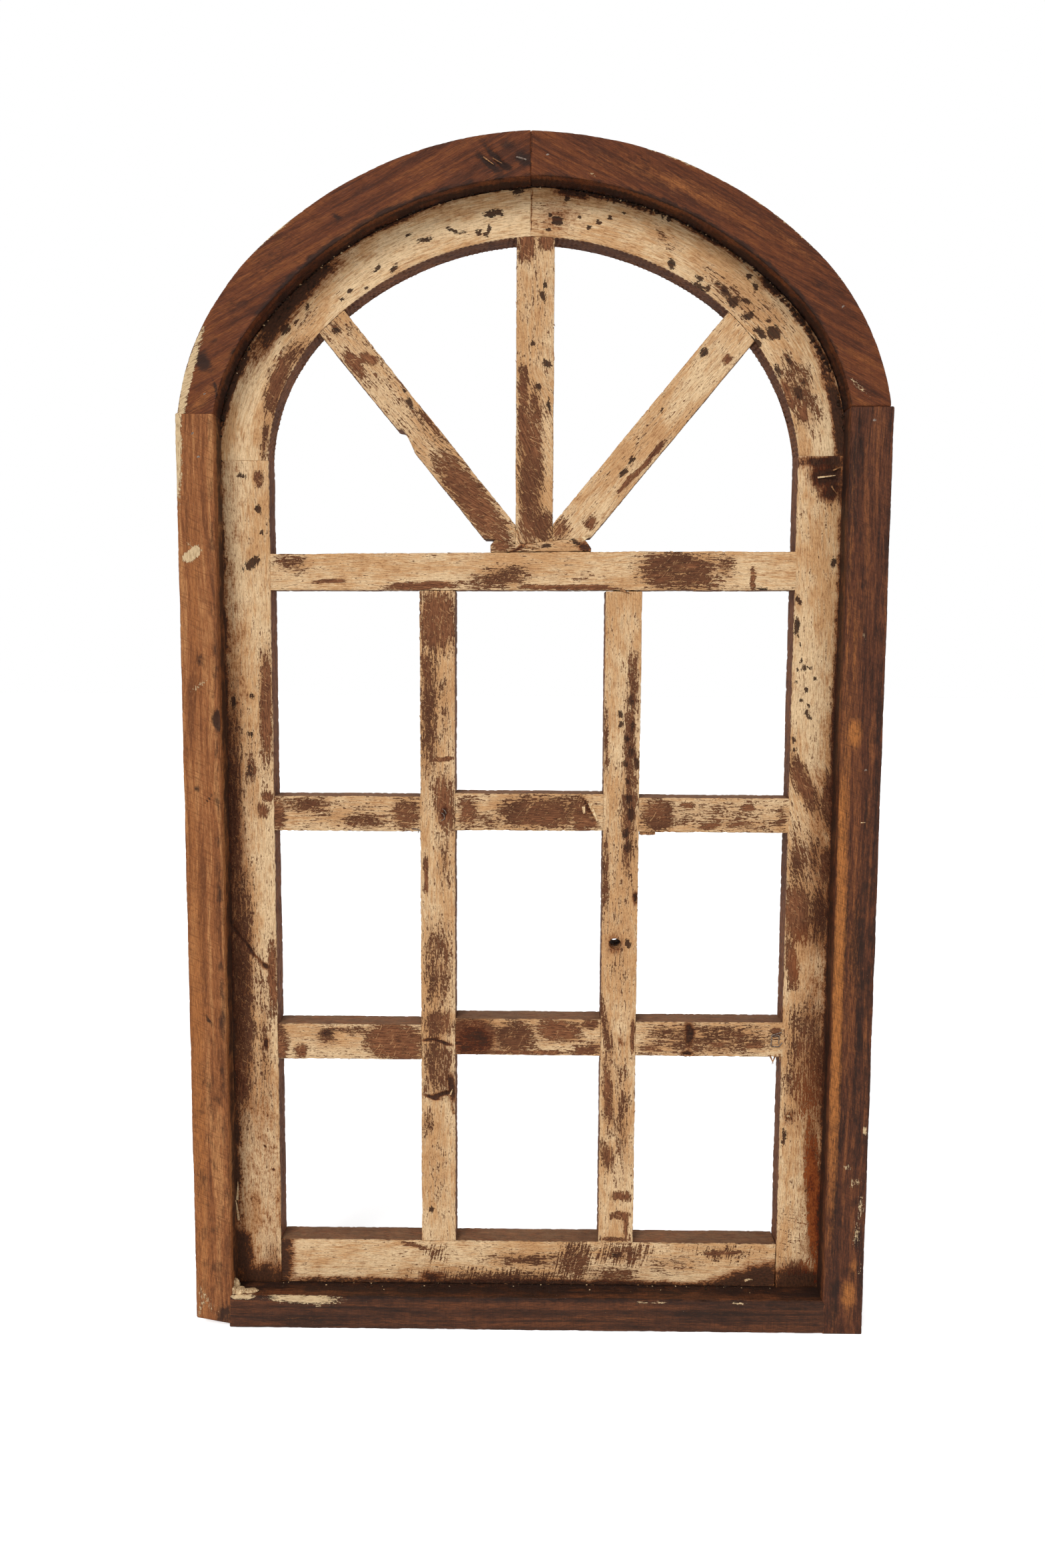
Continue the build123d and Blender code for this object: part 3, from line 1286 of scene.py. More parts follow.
            # Painted shade: the inner sides of the surround, which face the sash, darken with depth as
            # though in the shade of the frame.
            inner = spots[:, 2] * self.inner_side > self.width / 2 - self.arris
            painted_reveal_shade = 0.75 * eased(deep, 2.0, 12.0) * inner
            fields[Wear.GRIME_AND_SHADE.value] = np.maximum(fields[Wear.GRIME_AND_SHADE.value], painted_reveal_shade)
        else:
            lap = 1.6 + 1.6 * ripple_noise(spots, (0.05, 0.0, 0.05), self.seed + 13.9)
            side = np.clip(0.5 + (deep - lap) / 1.6, 0, 1)
            fields[Wear.BARE.value] = np.maximum(fields[Wear.BARE.value], 1.3 * side)
            fields[Wear.RUBBED.value] = np.maximum(fields[Wear.RUBBED.value], self.rubbed)
        return fields


def level_course(
    node: str, near: Optional[Profile] = None, far: Optional[Profile] = None
) -> StraightCourse:
    """The course of a level member.

    Args:
        node: The node whose box it fills.
        near: Its near edge, if it isn't that of the box.
        far: Its far edge, likewise.

    Returns:
        The course.
    """
    low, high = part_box(node)
    half = (high.z - low.z) / MM / 2
    foot = (low.x / MM, (low.z + high.z) / MM / 2)
    length = (high.x - low.x) / MM
    return StraightCourse(foot, 90.0, length, near or ((0, -half),), far or ((0, half),))


def upright_course(
    node: str, near: Optional[Profile] = None, far: Optional[Profile] = None
) -> StraightCourse:
    """The course of an upright member.

    Args:
        node: The node whose box it fills.
        near: Its near edge, if it isn't that of the box.
        far: Its far edge, likewise.

    Returns:
        The course.
    """
    low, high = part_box(node)
    half = (high.x - low.x) / MM / 2
    foot = ((low.x + high.x) / MM / 2, low.z / MM)
    length = (high.z - low.z) / MM
    return StraightCourse(foot, 0.0, length, near or ((0, -half),), far or ((0, half),))


def breadth(node: str, axis: str) -> float:
    """How wide the node's box is along x or z, in millimetres."""
    low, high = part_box(node)
    return (getattr(high, axis) - getattr(low, axis)) / MM


# Sub-assemblies

LEFT_AXIS = 9.6
RIGHT_AXIS = -6.1
LEFT_CROWN = 637.0
RIGHT_CROWN = 636.6
CROWN_JOINT_X = -3.0



def left_line(springing: float, half_width: float, haunch_offset: float) -> ArchLine:
    """A line of the left half of the arch."""
    return ArchLine(-1, LEFT_AXIS, springing, half_width, haunch_offset, LEFT_CROWN)


def right_line(springing: float, half_width: float, haunch_offset: float) -> ArchLine:
    """A line of the right half of the arch."""
    return ArchLine(1, RIGHT_AXIS, springing, half_width, haunch_offset, RIGHT_CROWN)


EXTRADOS = {"left": left_line(724.2, 280.0, 84.8), "right": right_line(729.0, 280.0, 86.6)}
REBATE = {"left": left_line(724.2, 251.6, 109.6), "right": right_line(729.0, 248.9, 95.2)}
INTRADOS = {"left": left_line(713.8, 211.5, 71.8), "right": right_line(702.5, 211.8, 40.3)}

ORANGE_BROWN = (
    "orange_brown_stain",
    StainedWood(middle="9E6239", light="C08654", dark="6E4024", tooth_depth=0.5),
)
BLACK_BROWN = (
    "black_brown_stain",
    StainedWood(middle="5E3522", light="86502F", dark="2E1A12", glow="B9743C", tooth_depth=0.3),
)
RED_BROWN = (
    "red_brown_stain",
    StainedWood(middle="6D3A20", light="844C28", dark="472516", tooth_turn=32.0, tooth_depth=0.3),
)
DIRTY_BROWN = (
    "dirty_brown_stain",
    StainedWood(middle="4F2E1D", light="6E4026", dark="2C1A10", tooth_turn=0.0),
)
CHIPPED_CREAM = ("chipped_cream_paint", ChippedPaint())
CREAM_FLAKE = ("cream_flake", Flake(face="E3C79C", shade="A87C50"))
CREAM_CRUMB = ("paint_crumbs", CREAM_FLAKE[1])
DIRT_CRUMB = ("dirt_crumbs", Flake(face="3A2618", shade="20140C"))
RAW_SPLINTER = ("raw_splinter", Flake(face="A97A50", shade="5A3822"))
OLD_PUTTY = ("old_putty", Flake(face="DCC196", shade="9A7450"))
DULL_STEEL = ("dull_steel", WeatheredMetal())


def painted(
    node: str, course: Course, width: float, marks: Marks, rubbed: float, **more: Any
) -> Member:
    """A member of the sash, in chipped cream paint, with the fields that any member has."""
    slot = "painted_sash_wood"
    return Member(node, course, width, CHIPPED_CREAM, slot, marks, rubbed=rubbed, **more)


@dataclass
class OuterFrame:
    """The stained surround: two jambs, the sill between them and the two halves of the arch."""

    arris: float = 1.1
    left_head: float = 751.0
    right_head: float = 759.0
    jamb_left_marks: Marks = (
        *worn(Wear.GOLD_AND_HIGHLIGHT, (215, -9, 340, 10, 0, 0.75), (430, -8, 110, 8, 0, 0.5),
              (610, -3, 170, 9, 0, 0.5)),
        *worn(Wear.GRIME_AND_SHADE, (8, 9, 26, 14, 0, 0.8), (130, 2, 260, 34, 0, 0.36),
              (265.5, 0.5, 11, 2.2, -32, 1, 0.9), (511, 13, 13, 6, 0, 1.4, 1.4),
              (457, -4.5, 6, 4, 0, 0.8, 0.4), (559, 0.5, 13, 6, 0, 0.7, 0.2),
              (448, 5, 11, 1.4, 42, 0.9, 0.5), (380, 12, 740, 5, 0, 0.55)),
        *worn(Wear.CREAM, (722, -14, 66, 6.5, 2), (24, -7, 34, 7, -34, 0.42),
              (17, -11, 20, 4, 20, 0.48), (540, 0, 15, 4, 52, 0.55), (642, -4.5, 13, 6, 55, 1.5),
              (651, -6, 4, 3, 0, 0.5)),
    )
    jamb_right_marks: Marks = (
        # The long marks at -12.5 to -14 across are a painted highlight where the light catches the inner
        # arris; the others are clean orange wood.
        *worn(Wear.GOLD_AND_HIGHLIGHT, (302, -12.5, 262, 6.5), (418, -14, 90, 5, 0, 0.9), (310, -2, 300, 18, 0, 0.3),
              (600, -13.5, 250, 3, 0, 0.45), (35, 4.5, 17, 8, 0, 0.9), (58, 8, 13, 5, 0, 0.6),
              (505, -6.5, 17, 8, 0, 0.95), (570, -8, 80, 3, 0, 0.5)),
        *worn(Wear.GRIME_AND_SHADE, (375, 13, 750, 9, 0, 0.55), (80, 0, 150, 30, 0, 0.42),
              (290, 6, 330, 6, 0, 0.75), (600, -2, 160, 8, 0, 0.5), (30, -8, 90, 14, 0, 0.6),
              (737, -9, 46, 1.3, -6, 1, 1.2)),
        *worn(Wear.CREAM, (88, 9.5, 24, 6, 0, 0.46), (112, 12, 20, 4, 0, 0.52),
              (133, 7, 12, 6, 60, 0.5), (146, 0, 6, 7, 0, 0.52), (177, 13, 6, 2.5, 0, 0.9),
              (57, 13.5, 8, 2, 0, 0.6), (582, -1, 7, 3, 0, 0.42)),
    )
    arch_left_marks: Marks = (
        *worn(Wear.CREAM, (24, -11.5, 54, 6, -2), (57, -14, 16, 3.5, 0, 0.75),
              (152, -17, 30, 1.6, 0, 0.7)),
        *worn(Wear.GRIME_AND_SHADE, (41, -4, 17, 9, -45, 0.85), (22, 11, 32, 3, -26, 0.8, 0.3),
              (59, -2, 10, 8, -30, 0.7, 0.4), (88, -2, 26, 20, 0, 0.45), (192, 1, 5, 9, 0, 0.9, 0.4),
              (316, 3, 22, 4, 46, 1.1, 1.1), (323, 0, 26, 4, 54, 1.1, 1.2),
              (329, 7, 15, 4, 38, 1.1, 0.9), (333, -8, 9, 8, 40, 0.8, 0.4),
              (344, 3, 14, 9, 20, 1.1, 0.7), (175, 16.5, 350, 5, 0, 0.85), (140, -6, 70, 20, 0, 0.42)),
        *worn(Wear.GOLD_AND_HIGHLIGHT, (12, 4, 26, 8, 40, 0.55), (270, 0, 60, 10, 0, 0.3)),
    )
    arch_right_marks: Marks = (
        *worn(Wear.GRIME_AND_SHADE, (0.3, 0, 0.8, 36, 0, 0.8, 0.4), (80, -8, 60, 12, 10, 0.32),
              (250, 0, 60, 16, -20, 0.36), (335, 2, 30, 22, 0, 0.4), (175, 16.5, 350, 5, 0, 0.85)),
        *worn(Wear.GOLD_AND_HIGHLIGHT, (120, 0, 160, 14, 0, 0.42), (210, -8, 60, 8, 0, 0.4)),
        *worn(Wear.CREAM, (335, 6, 18, 6, -35, 0.42), (51, 11, 8, 2, 0, 0.5),
              (110, -16.5, 30, 1.4, 0, 0.7), (160, -17, 180, 1.6, 0, 0.56)),
    )
    sill_marks: Marks = (
        *worn(Wear.CREAM, (12, -13.5, 20, 5, 0, 0.8), (62, -12, 50, 7, 2, 0.95), (75, -6, 6, 3, 0, 0.6),
              (347, -12, 9, 1.6, 0, 0.85), (362, -12, 9, 1.6, 0, 0.85), (427, -12, 10, 1.6, 0, 0.85),
              (300, -2, 60, 16, 0, 0.18)),
        *worn(Wear.GRIME_AND_SHADE, (250, -14, 500, 8, 0, 0.7), (120, 0, 200, 24, 0, 0.4),
              (420, 4, 160, 18, 0, 0.4)),
        *worn(Wear.GOLD_AND_HIGHLIGHT, (330, 2, 120, 6, 0, 0.3), (60, 6, 60, 8, 0, 0.3)),
    )

    def stained(
        self, node: str, course: Course, width: float, look: Look, marks: Marks, **more: Any
    ) -> Member:
        """A member of the surround, in a stain, with the fields that any member has."""
        slot = "dark_outer_wood" if look in (BLACK_BROWN, DIRTY_BROWN) else "stained_outer_wood"
        return Member(node, course, width, look, slot, marks, False, arris=self.arris, **more)

    def members(self) -> list[Member]:
        """The five members of the surround."""
        square = upright_course("outer_jamb_left")
        left = WornFoot(square.foot, square.heading, self.left_head, square.near, square.far)
        right = upright_course("outer_jamb_right")
        arch_left = ArchCourse(
            EXTRADOS["left"], REBATE["left"], CROWN_JOINT_X, self.left_head, chord=True
        )
        arch_right = ArchCourse(
            EXTRADOS["right"], REBATE["right"], CROWN_JOINT_X, self.right_head, chord=True
        )
        return [
            self.stained(
                "outer_jamb_left", left, 28.4, ORANGE_BROWN, self.jamb_left_marks, laps=(0, 0)
            ),
            self.stained(
                "outer_jamb_right", right, 31.1, BLACK_BROWN, self.jamb_right_marks,
                inner_side=-1, laps=(0, 0),
            ),
            self.stained(
                "outer_sill", level_course("outer_sill"), 29.0, DIRTY_BROWN, self.sill_marks,
                inner_side=-1,
            ),
            self.stained(
                "outer_arch_left", arch_left, 34.0, RED_BROWN, self.arch_left_marks,
                laps=(0, 0), ripple=0.6, pitch=1.0,
            ),
            self.stained(
                "outer_arch_right", arch_right, 34.0, RED_BROWN, self.arch_right_marks,
                laps=(0, 0), ripple=0.8, pitch=1.0,
            ),
        ]


@dataclass
class SashFrame:
    """The painted sash: stiles, rails and the two halves of its arch."""

    ripple: float = 1.5
    stile_left_marks: Marks = (
        # The long strips at -20 and -16 across darken the margin beside the outer jamb: partly dirt,
        # partly painted shade cast by the jamb.
        *worn(Wear.GRIME_AND_SHADE, (4, 0, 20, 46), (26, -15, 52, 16, -8), (110, -18, 130, 7, 0, 0.9),
              (345, -20, 690, 7, 0, 0.95), (345, -16, 690, 24, 0, 0.34), (85, 0, 190, 46, 0, 0.26),
              (295, -5, 42, 2, -38, 0.95, 1.3), (211, 10, 7, 3, 0, 1, 0.6), (277, 10, 5, 4, 0, 1, 0.8),
              (100.5, 14, 2.6, 2.6, 0, 1.2, 1.2), (121, 7, 2, 2, 0, 1, 0.8)),
        *worn(Wear.RUBBED, (24, 13, 26, 14, 0, 0.7), (260, -9, 240, 24, 0, 0.85),
              (225, 8, 150, 16, 0, 0.7), (400, -13, 190, 14, 0, 0.95), (440, 2, 60, 12, 0, 0.75)),
        *worn(Wear.BARE, (180, -12, 42, 12, -4), (268, 16, 56, 7), (491, 14.5, 88, 9.5, 1),
              (408, 10, 12, 9, 0, 0.9), (420, 14, 9, 8, 0, 0.9), (677, 11, 11, 7)),
        *worn(Wear.CHIP, (609, 5, 14, 6, 50), (652, 11, 6, 5), (634, 13, 4, 3), (678, -2, 4, 8, 0, 0.8),
              (498, -12.5, 10, 4), (502, 3, 5, 4, 0, 0.9), (471, 1, 5, 4, 0, 0.9),
              (441, 0, 10, 6, 0, 0.75)),
    )
    stile_right_marks: Marks = (
        # The long strips at 18.5 and 13 across darken the margin beside the outer jamb: partly dirt,
        # partly painted shade from the frame.
        *worn(Wear.GRIME_AND_SHADE, (4, 0, 22, 44), (345, 18.5, 690, 6, 0, 0.9), (225, 13, 480, 26, 0, 0.33),
              (151, -12, 9, 7, 0, 0.7, 0.7), (691, 2, 8, 34, 0, 1, 0.4),
              (680, 5, 12, 22, -10, 1.1, 0.9), (669, 8, 14, 9, 30, 0.9, 0.6)),
        *worn(Wear.RUBBED, (18, 0, 18, 34, 0, 0.8), (200, 0, 120, 36, 0, 0.72),
              (190, 13, 80, 11, 0, 0.95), (325, 9, 60, 20, 0, 0.85), (368, -9, 56, 16, 0, 0.85),
              (370, 3, 50, 12, 0, 0.85), (485, 16, 100, 6, 0, 0.95), (45, -6, 70, 24, 0, 0.3)),
        *worn(Wear.BARE, (78, 11.5, 122, 11, -4), (212, -3, 26, 11, 0, 0.72),
              (282, -12.5, 42, 9, -6, 0.95), (325, -9, 50, 20, -4), (432, -7, 44, 13, -28),
              (366, 12, 30, 8, 0, 0.85), (420, 13.5, 44, 9, 0, 0.95), (676, 4, 34, 20, -20, 0.9)),
        *worn(Wear.GOLD_AND_HIGHLIGHT, (78, 10.5, 130, 14, -4, 1.3), (288, -4, 26, 9, 0, 0.7)),
        *worn(Wear.CHIP, (133, -15, 12, 4), (491.5, -6, 5, 3.6, -20), (534, -12, 3, 2.6),
              (528, -9.5, 4, 3.4), (527.5, -4.6, 3.2, 2.6), (525.5, -14.4, 3, 2.6),
              (516, -15, 3.4, 2.6), (518, 0, 3, 2.6), (509, -7, 3.6, 3), (501.5, -10.6, 3, 2.6),
              (497.6, -4.6, 4, 3), (487.5, -4, 3.6, 3), (545, -13, 3, 2.6), (461, -15, 4, 3),
              (469, -16, 5, 3), (560, -16, 14, 4), (582, -15.5, 8, 4, -30), (612, 11.5, 8, 4)),
        *worn(Wear.SAWN, (368, -11, 46, 14, 0, 0.75), (45, -4, 60, 28, 0, 0.45)),
    )
    bottom_rail_marks: Marks = (
        *worn(Wear.GRIME_AND_SHADE, (2, 0, 12, 44), (210, 19.5, 430, 7), (60, 17, 110, 5, 0, 0.8),
              (129, 14, 16, 9, 0, 0.9), (385, 17, 90, 14, -17, 1.1), (412, 10, 26, 20, -10, 1.1)),
        *worn(Wear.BARE, (114, -14.5, 28, 4, 14, 0.8), (378, -11, 36, 4, -2, 0.85)),
        *worn(Wear.SAWN, (132, -8, 14, 13, 0, 1.1), (190, 13, 110, 12, 0, 1.1),
              (250, -2, 28, 36, 12, 1.2), (292, -9, 44, 20, 0, 1.1), (375, -10, 50, 12, 0, 0.9)),
        *worn(Wear.RUBBED, (210, -3, 60, 10, 0, 0.95), (190, 14, 110, 10, 0, 0.9),
              (285, 11, 50, 16, 0, 0.9), (330, 0, 60, 20, 0, 0.6)),
        *worn(Wear.CHIP, (286, -8, 8, 4, 0, 0.9)),
    )
    transom_marks: Marks = (
        *worn(Wear.RUBBED, (17, -6, 28, 14, 10, 0.9), (185, 6, 44, 15, -12, 1.05),
              (330, 0, 70, 32, 4, 0.9), (366, -3, 18, 22, 0, 0.8), (250, 4, 80, 12, 4, 0.5)),
        *worn(Wear.BARE, (47, 9, 30, 4, -3, 0.8), (125, 12, 62, 6, -3, 0.9),
              (240, 13, 82, 4.5, 0, 0.95), (312, 4, 26, 10, 6, 0.85), (338, -4, 24, 8, -8, 0.8),
              (345, 9, 24, 5, 30, 0.6), (388.5, 6, 5, 18, 0, 0.85)),
        *worn(Wear.CHIP, (396, 14, 10, 3.5, 0, 0.85)),
    )
    arch_left_marks: Marks = (
        # These strips at -15 to -19.5 across darken the outer margin: partly dirt, partly painted shade
        # from the rebate of the outer arch.
        *worn(Wear.GRIME_AND_SHADE, (57, -18.5, 66, 5, 2, 1.1), (128, -15, 78, 13, -3, 1.2),
              (200, -18.5, 110, 4, 0, 0.85), (285, -19.5, 90, 2.5, 0, 0.9)),
        *worn(Wear.CHIP, (317, -16.5, 9, 6), (110, -4, 8, 6, -30), (119, -1, 6, 3, 0, 0.9),
              (134, -3, 7, 3, -20, 0.8), (156, 11, 4, 3.4), (166, 10, 4, 2.5), (177, 15, 3, 2.5),
              (195, 7, 9, 3, -15), (206, 13.5, 8, 2.6, -20), (239, 3.5, 13, 3.6, 8),
              (263, 3.5, 8, 3, 35), (270, 7, 7, 2, 10), (284, 10, 4, 4), (291, 10, 9, 3.4, -50),
              (297, -2, 14, 5), (230, -5, 5, 2, 0, 0.8)),
        *worn(Wear.BARE, (66, 14, 50, 12, -7)),
        *worn(Wear.RUBBED, (93, 13, 34, 13, 12), (22, 16, 44, 6, 0, 0.95), (130, 3, 60, 14, -8, 0.5)),
    )
    arch_right_marks: Marks = (
        *worn(Wear.GRIME_AND_SHADE, (0.3, 0, 0.8, 40, 0, 0.8, 0.4), (20, 2, 34, 22, 0, 0.34),
              (31, -16, 18, 5, 0, 1, 0.3), (60, -18, 60, 5, 0, 0.85), (135, -18.5, 60, 4, 0, 0.8),
              (192, -18, 14, 7), (240, -18.5, 80, 5, 0, 0.8), (298, -15.5, 70, 8, 2, 1.1)),
        *worn(Wear.RUBBED, (18, 0, 36, 30, 0, 0.4), (110, 0, 44, 18, 10, 0.42),
              (205, -4, 60, 20, 0, 0.55), (180, 8, 70, 22, 0, 0.6), (275, 8, 70, 26, 0, 0.75)),
        *worn(Wear.CHIP, (21.5, 5.6, 7.5, 5.4, 0, 1.2, 0.5), (15.5, 2, 3, 3, 0, 1.1, 0.3),
              (14.5, 13, 4.6, 3.2, 0, 1.1, 0.3), (27, -11.5, 4, 3, 0, 1.1, 0.3),
              (48, 7, 3.4, 3, 0, 1.1, 0.3), (54, 2, 3.4, 3, 0, 1.1, 0.3), (62, -3, 3, 2.6, 0, 1.1, 0.3),
              (38.5, 1, 2.4, 2.4), (71, -10, 3, 2.6), (123, 13, 8, 5, 20, 1.1, 0.3),
              (149, 12, 6, 3.6, 0, 1, 0.2), (160, 15, 5, 3, 40, 1, 0.2), (163, 8, 4, 2.6),
              (154, 18, 13, 4, 8, 1, 0.3), (175, -12, 5, 4), (183, -9, 7, 3, 30),
              (172, 9, 11, 4.4, 20, 1, 0.2), (182, 11, 8, 7, 30, 1.1, 0.4), (189, 4, 7, 3.6, -20),
              (199, 11, 5, 8, 0, 1, 0.3), (217, 13, 10, 5), (222, 5, 9, 8, 30, 1.15, 0.4),
              (212, 2, 4, 3), (222, 20, 10, 4), (247, 7, 8, 4, 0, 0.8), (275, 10, 11, 5, 0, 0.95),
              (252, 18, 14, 4, 10, 0.8), (268, 3, 8, 3, 0, 0.75)),
        *worn(Wear.BARE, (104, -3, 12, 6, 30, 0.62), (272, 18, 26, 6, 0, 0.95),
              (292, 11, 17, 7, -15, 0.95)),
    )
    nibbles: tuple[tuple[float, float], ...] = ((24, -17.5), (186, -17.2))

    def nibbled(self, start: float, across: float) -> Marks:
        """A row of small dark chips, left by a tool along the edge of the arch."""
        return tuple(
            Mark(Wear.CHIP, start + 4.6 * place, across, 2.6, 3.4 + 1.6 * (place * 7 % 5) / 4)
            for place in range(18)
        )

    def members(self) -> list[Member]:
        """The six members of the sash frame."""
        arch_right_marks = self.arch_right_marks
        for start, across in self.nibbles:
            arch_right_marks += self.nibbled(start, across)
        transom_near = ((0, -12.9), (300, -16.2), (423.3, -16.45))
        transom_far = ((0, 16.45), (200, 15.8), (423.3, 15.0))
        transom = level_course("transom", transom_near, transom_far)
        arch_left = ArchCourse(REBATE["left"], INTRADOS["left"], CROWN_JOINT_X, 719.0)
        arch_right = ArchCourse(REBATE["right"], INTRADOS["right"], CROWN_JOINT_X, 724.0)
        rippled = {"ripple": self.ripple, "pitch": 0.75, "laps": (0, 0)}
        return [
            painted("stile_left", upright_course("stile_left"), 40.1, self.stile_left_marks, 0.3),
            painted(
                "stile_right", upright_course("stile_right"), 37.1, self.stile_right_marks, 0.32,
                drift=((0, 0), (330, 0), (450, 34), (695, 44)),
            ),
            painted(
                "bottom_rail", level_course("bottom_rail"), 38.6, self.bottom_rail_marks, 0.3,
                laps=(0.5, -1.6),
            ),
            painted("transom", transom, 32.9, self.transom_marks, 0.3),
            painted("sash_arch_left", arch_left, 38.0, self.arch_left_marks, 0.15, **rippled),
            painted("sash_arch_right", arch_right, 38.0, arch_right_marks, 0.2, **rippled),
        ]


@dataclass
class GlazingBars:
    """The two muntins and the six short cross bars between the stiles."""

    knot_hole: tuple[float, float, float, float] = (259.5, -3.5, 4.9, 2.1)
    muntin_left_marks: Marks = (
        *worn(Wear.CHIP, (28, -6, 6, 4)),
        *worn(Wear.RUBBED, (105, -9, 26, 10, 0, 0.8), (155, 0, 60, 28, 0, 0.8),
              (240, 0, 90, 28, 0, 0.72), (330, 6, 50, 12, 0, 0.75), (450, -7, 110, 14),
              (450, 6, 100, 14, 0, 0.6), (60, 0, 110, 26, 0, 0.45)),
        *worn(Wear.GRIME_AND_SHADE, (127, -6, 2.2, 12, 16, 1.1, 0.8), (129.5, 4, 2.8, 15, -12, 1.2, 1.1),
              (134, 11.5, 20, 5, -8, 1, 0.6), (177, -7, 2, 12, -10, 1.1, 0.6),
              (174.5, 3, 2.2, 13, 14, 1.1, 0.8), (369, 6, 6, 4, 0, 0.8, 0.6)),
        *worn(Wear.BARE, (190, 0, 26, 28, 0, 0.76), (315, -10, 34, 4, 0, 0.8),
              (376, 5, 46, 15, -4, 0.95), (413, 4, 5, 17, 0, 0.9), (486, -9, 30, 9, -10, 0.9),
              (525, 0, 54, 32, 0, 0.78)),
    )
    muntin_right_marks: Marks = (
        *worn(Wear.BARE, (3, 0, 4, 28, 0, 0.8), (24, 4, 6, 18, 0, 0.9), (41, 4, 8, 15, 0, 0.95),
              (14, 8.5, 18, 5, 0, 0.85), (76, -8, 26, 12, -8, 0.8), (132, -8, 66, 9, -3, 0.85),
              (181, 12, 30, 4, 0, 0.85), (332, 5, 34, 8, 0, 0.7), (362, 5, 26, 12, 0, 0.8)),
        *worn(Wear.RUBBED, (185, -10, 60, 8, -10, 0.95), (110, 4, 110, 14, 0, 0.75), (315, -12, 66, 6),
              (400, 7, 150, 11), (428, -13, 50, 4), (474, 8.5, 54, 8, 0, 1.05),
              (300, 0, 300, 26, 0, 0.45)),
        *worn(Wear.GRIME_AND_SHADE, (176, 2, 7, 4, 0, 0.6, 0.4), (259.5, -3.5, 12, 10, 0, 0.62),
              (298, 13, 8, 4, 0, 1, 1.6)),
        *worn(Wear.CHIP, (260, 7, 5, 4), (341, 6, 9, 5, 0, 0.95), (353, 4, 8, 5, 20, 0.95),
              (368, 8, 10, 6), (381, 6, 8, 5, -20, 0.95), (420, 8, 9, 5, 0, 0.9),
              (440, 8, 8, 4, 0, 0.9), (461, 7, 10, 4, 0, 0.9), (396, 5, 6, 4), (410, 3, 6, 4),
              (410, 12, 7, 4), (430, 4, 6, 4), (442, -1, 5, 4), (451, -2, 5, 4)),
    )
    lower_left_marks: Marks = (
        *worn(Wear.BARE, (1, 0, 12, 34, 0, 0.9), (19, 8.5, 10, 11), (98, 0, 50, 32, 12, 0.9)),
        *worn(Wear.RUBBED, (41, -4, 20, 20, 0, 0.8), (60, -10, 60, 8, 0, 0.8)),
        *worn(Wear.CHIP, (41, -8, 10, 6, 0, 0.8)),
    )
    lower_middle_marks: Marks = (
        *worn(Wear.BARE, (12, 0, 42, 32, 0, 0.95), (86, -6, 40, 20, 6, 0.9),
              (110, 11, 24, 9, -15, 0.95), (60, 13, 70, 5, 0, 0.85), (113, -12, 14, 8, 0, 0.9)),
        *worn(Wear.GRIME_AND_SHADE, (14, 2, 34, 28, 0, 0.6)),
        *worn(Wear.RUBBED, (50, 0, 40, 28, 0, 0.95)),
    )
    lower_right_marks: Marks = (
        *worn(Wear.RUBBED, (62, 0, 120, 30, 0, 0.72), (25, -6, 40, 14, 0, 0.85),
              (75, 4, 60, 20, 0, 0.6)),
        *worn(Wear.BARE, (68, 4, 16, 6, -10, 0.8), (82, -5, 22, 5, 6, 0.8), (98, 5, 18, 6, 0, 0.85),
              (14, 8, 28, 12, 0, 0.7), (85, 0, 6, 22, 0, 0.6), (116, -7, 8, 8, 0, 0.95)),
        *worn(Wear.GRIME_AND_SHADE, (44.5, -6, 6, 18, 0, 1, 0.9), (43, 13, 9, 4, 0, 1, 1.6)),
    )
    upper_left_marks: Marks = (
        *worn(Wear.BARE, (2, 0, 14, 32, 0, 0.9), (108, 0, 26, 28, 0, 0.72)),
        *worn(Wear.RUBBED, (26, -7, 36, 12, 0, 1.05), (75, 6, 42, 14, 0, 0.95),
              (60, 0, 120, 28, 0, 0.5)),
    )
    upper_middle_marks: Marks = (
        *worn(Wear.BARE, (10, 0, 20, 30, 0, 0.75), (72, 0, 56, 27, 0, 0.78),
              (103, 2, 16, 30, -14, 0.95), (113, 8, 8, 12, -30, 0.9)),
        *worn(Wear.RUBBED, (30, 8, 30, 14, 0, 0.8), (70, 0, 80, 30, 0, 0.9)),
        *worn(Wear.GRIME_AND_SHADE, (108, -6, 14, 2, 60, 0.9, 0.9)),
    )
    upper_right_marks: Marks = (
        *worn(Wear.BARE, (12, 0, 26, 30, 0, 0.7), (85, 7, 60, 14, 0, 0.66), (40, -8, 16, 6, 8, 0.8),
              (58, 9, 24, 6, -6, 0.8), (88, -6, 14, 7, 0, 0.85), (117, 0, 12, 28, 0, 0.6)),
        *worn(Wear.RUBBED, (60, 0, 116, 30, 0, 0.62), (16, 0, 30, 28, 0, 0.95)),
    )

    def members(self) -> list[Member]:
        """The eight bars of the lower lights."""
        uprights = [
            painted(
                "muntin_left", upright_course("muntin_left"), 29.4, self.muntin_left_marks, 0.35,
                pitch=1.2,
            ),
            painted(
                "muntin_right", upright_course("muntin_right"), 30.2, self.muntin_right_marks, 0.35,
                bores=(self.knot_hole,),
            ),
        ]
        rows = {
            "bar_lower_left": self.lower_left_marks,
            "bar_lower_middle": self.lower_middle_marks,
            "bar_lower_right": self.lower_right_marks,
            "bar_upper_left": self.upper_left_marks,
            "bar_upper_middle": self.upper_middle_marks,
            "bar_upper_right": self.upper_right_marks,
        }
        bars = [
            painted(node, level_course(node), breadth(node, "z"), marks, 0.4)
            for node, marks in rows.items()
        ]
        return uprights + bars


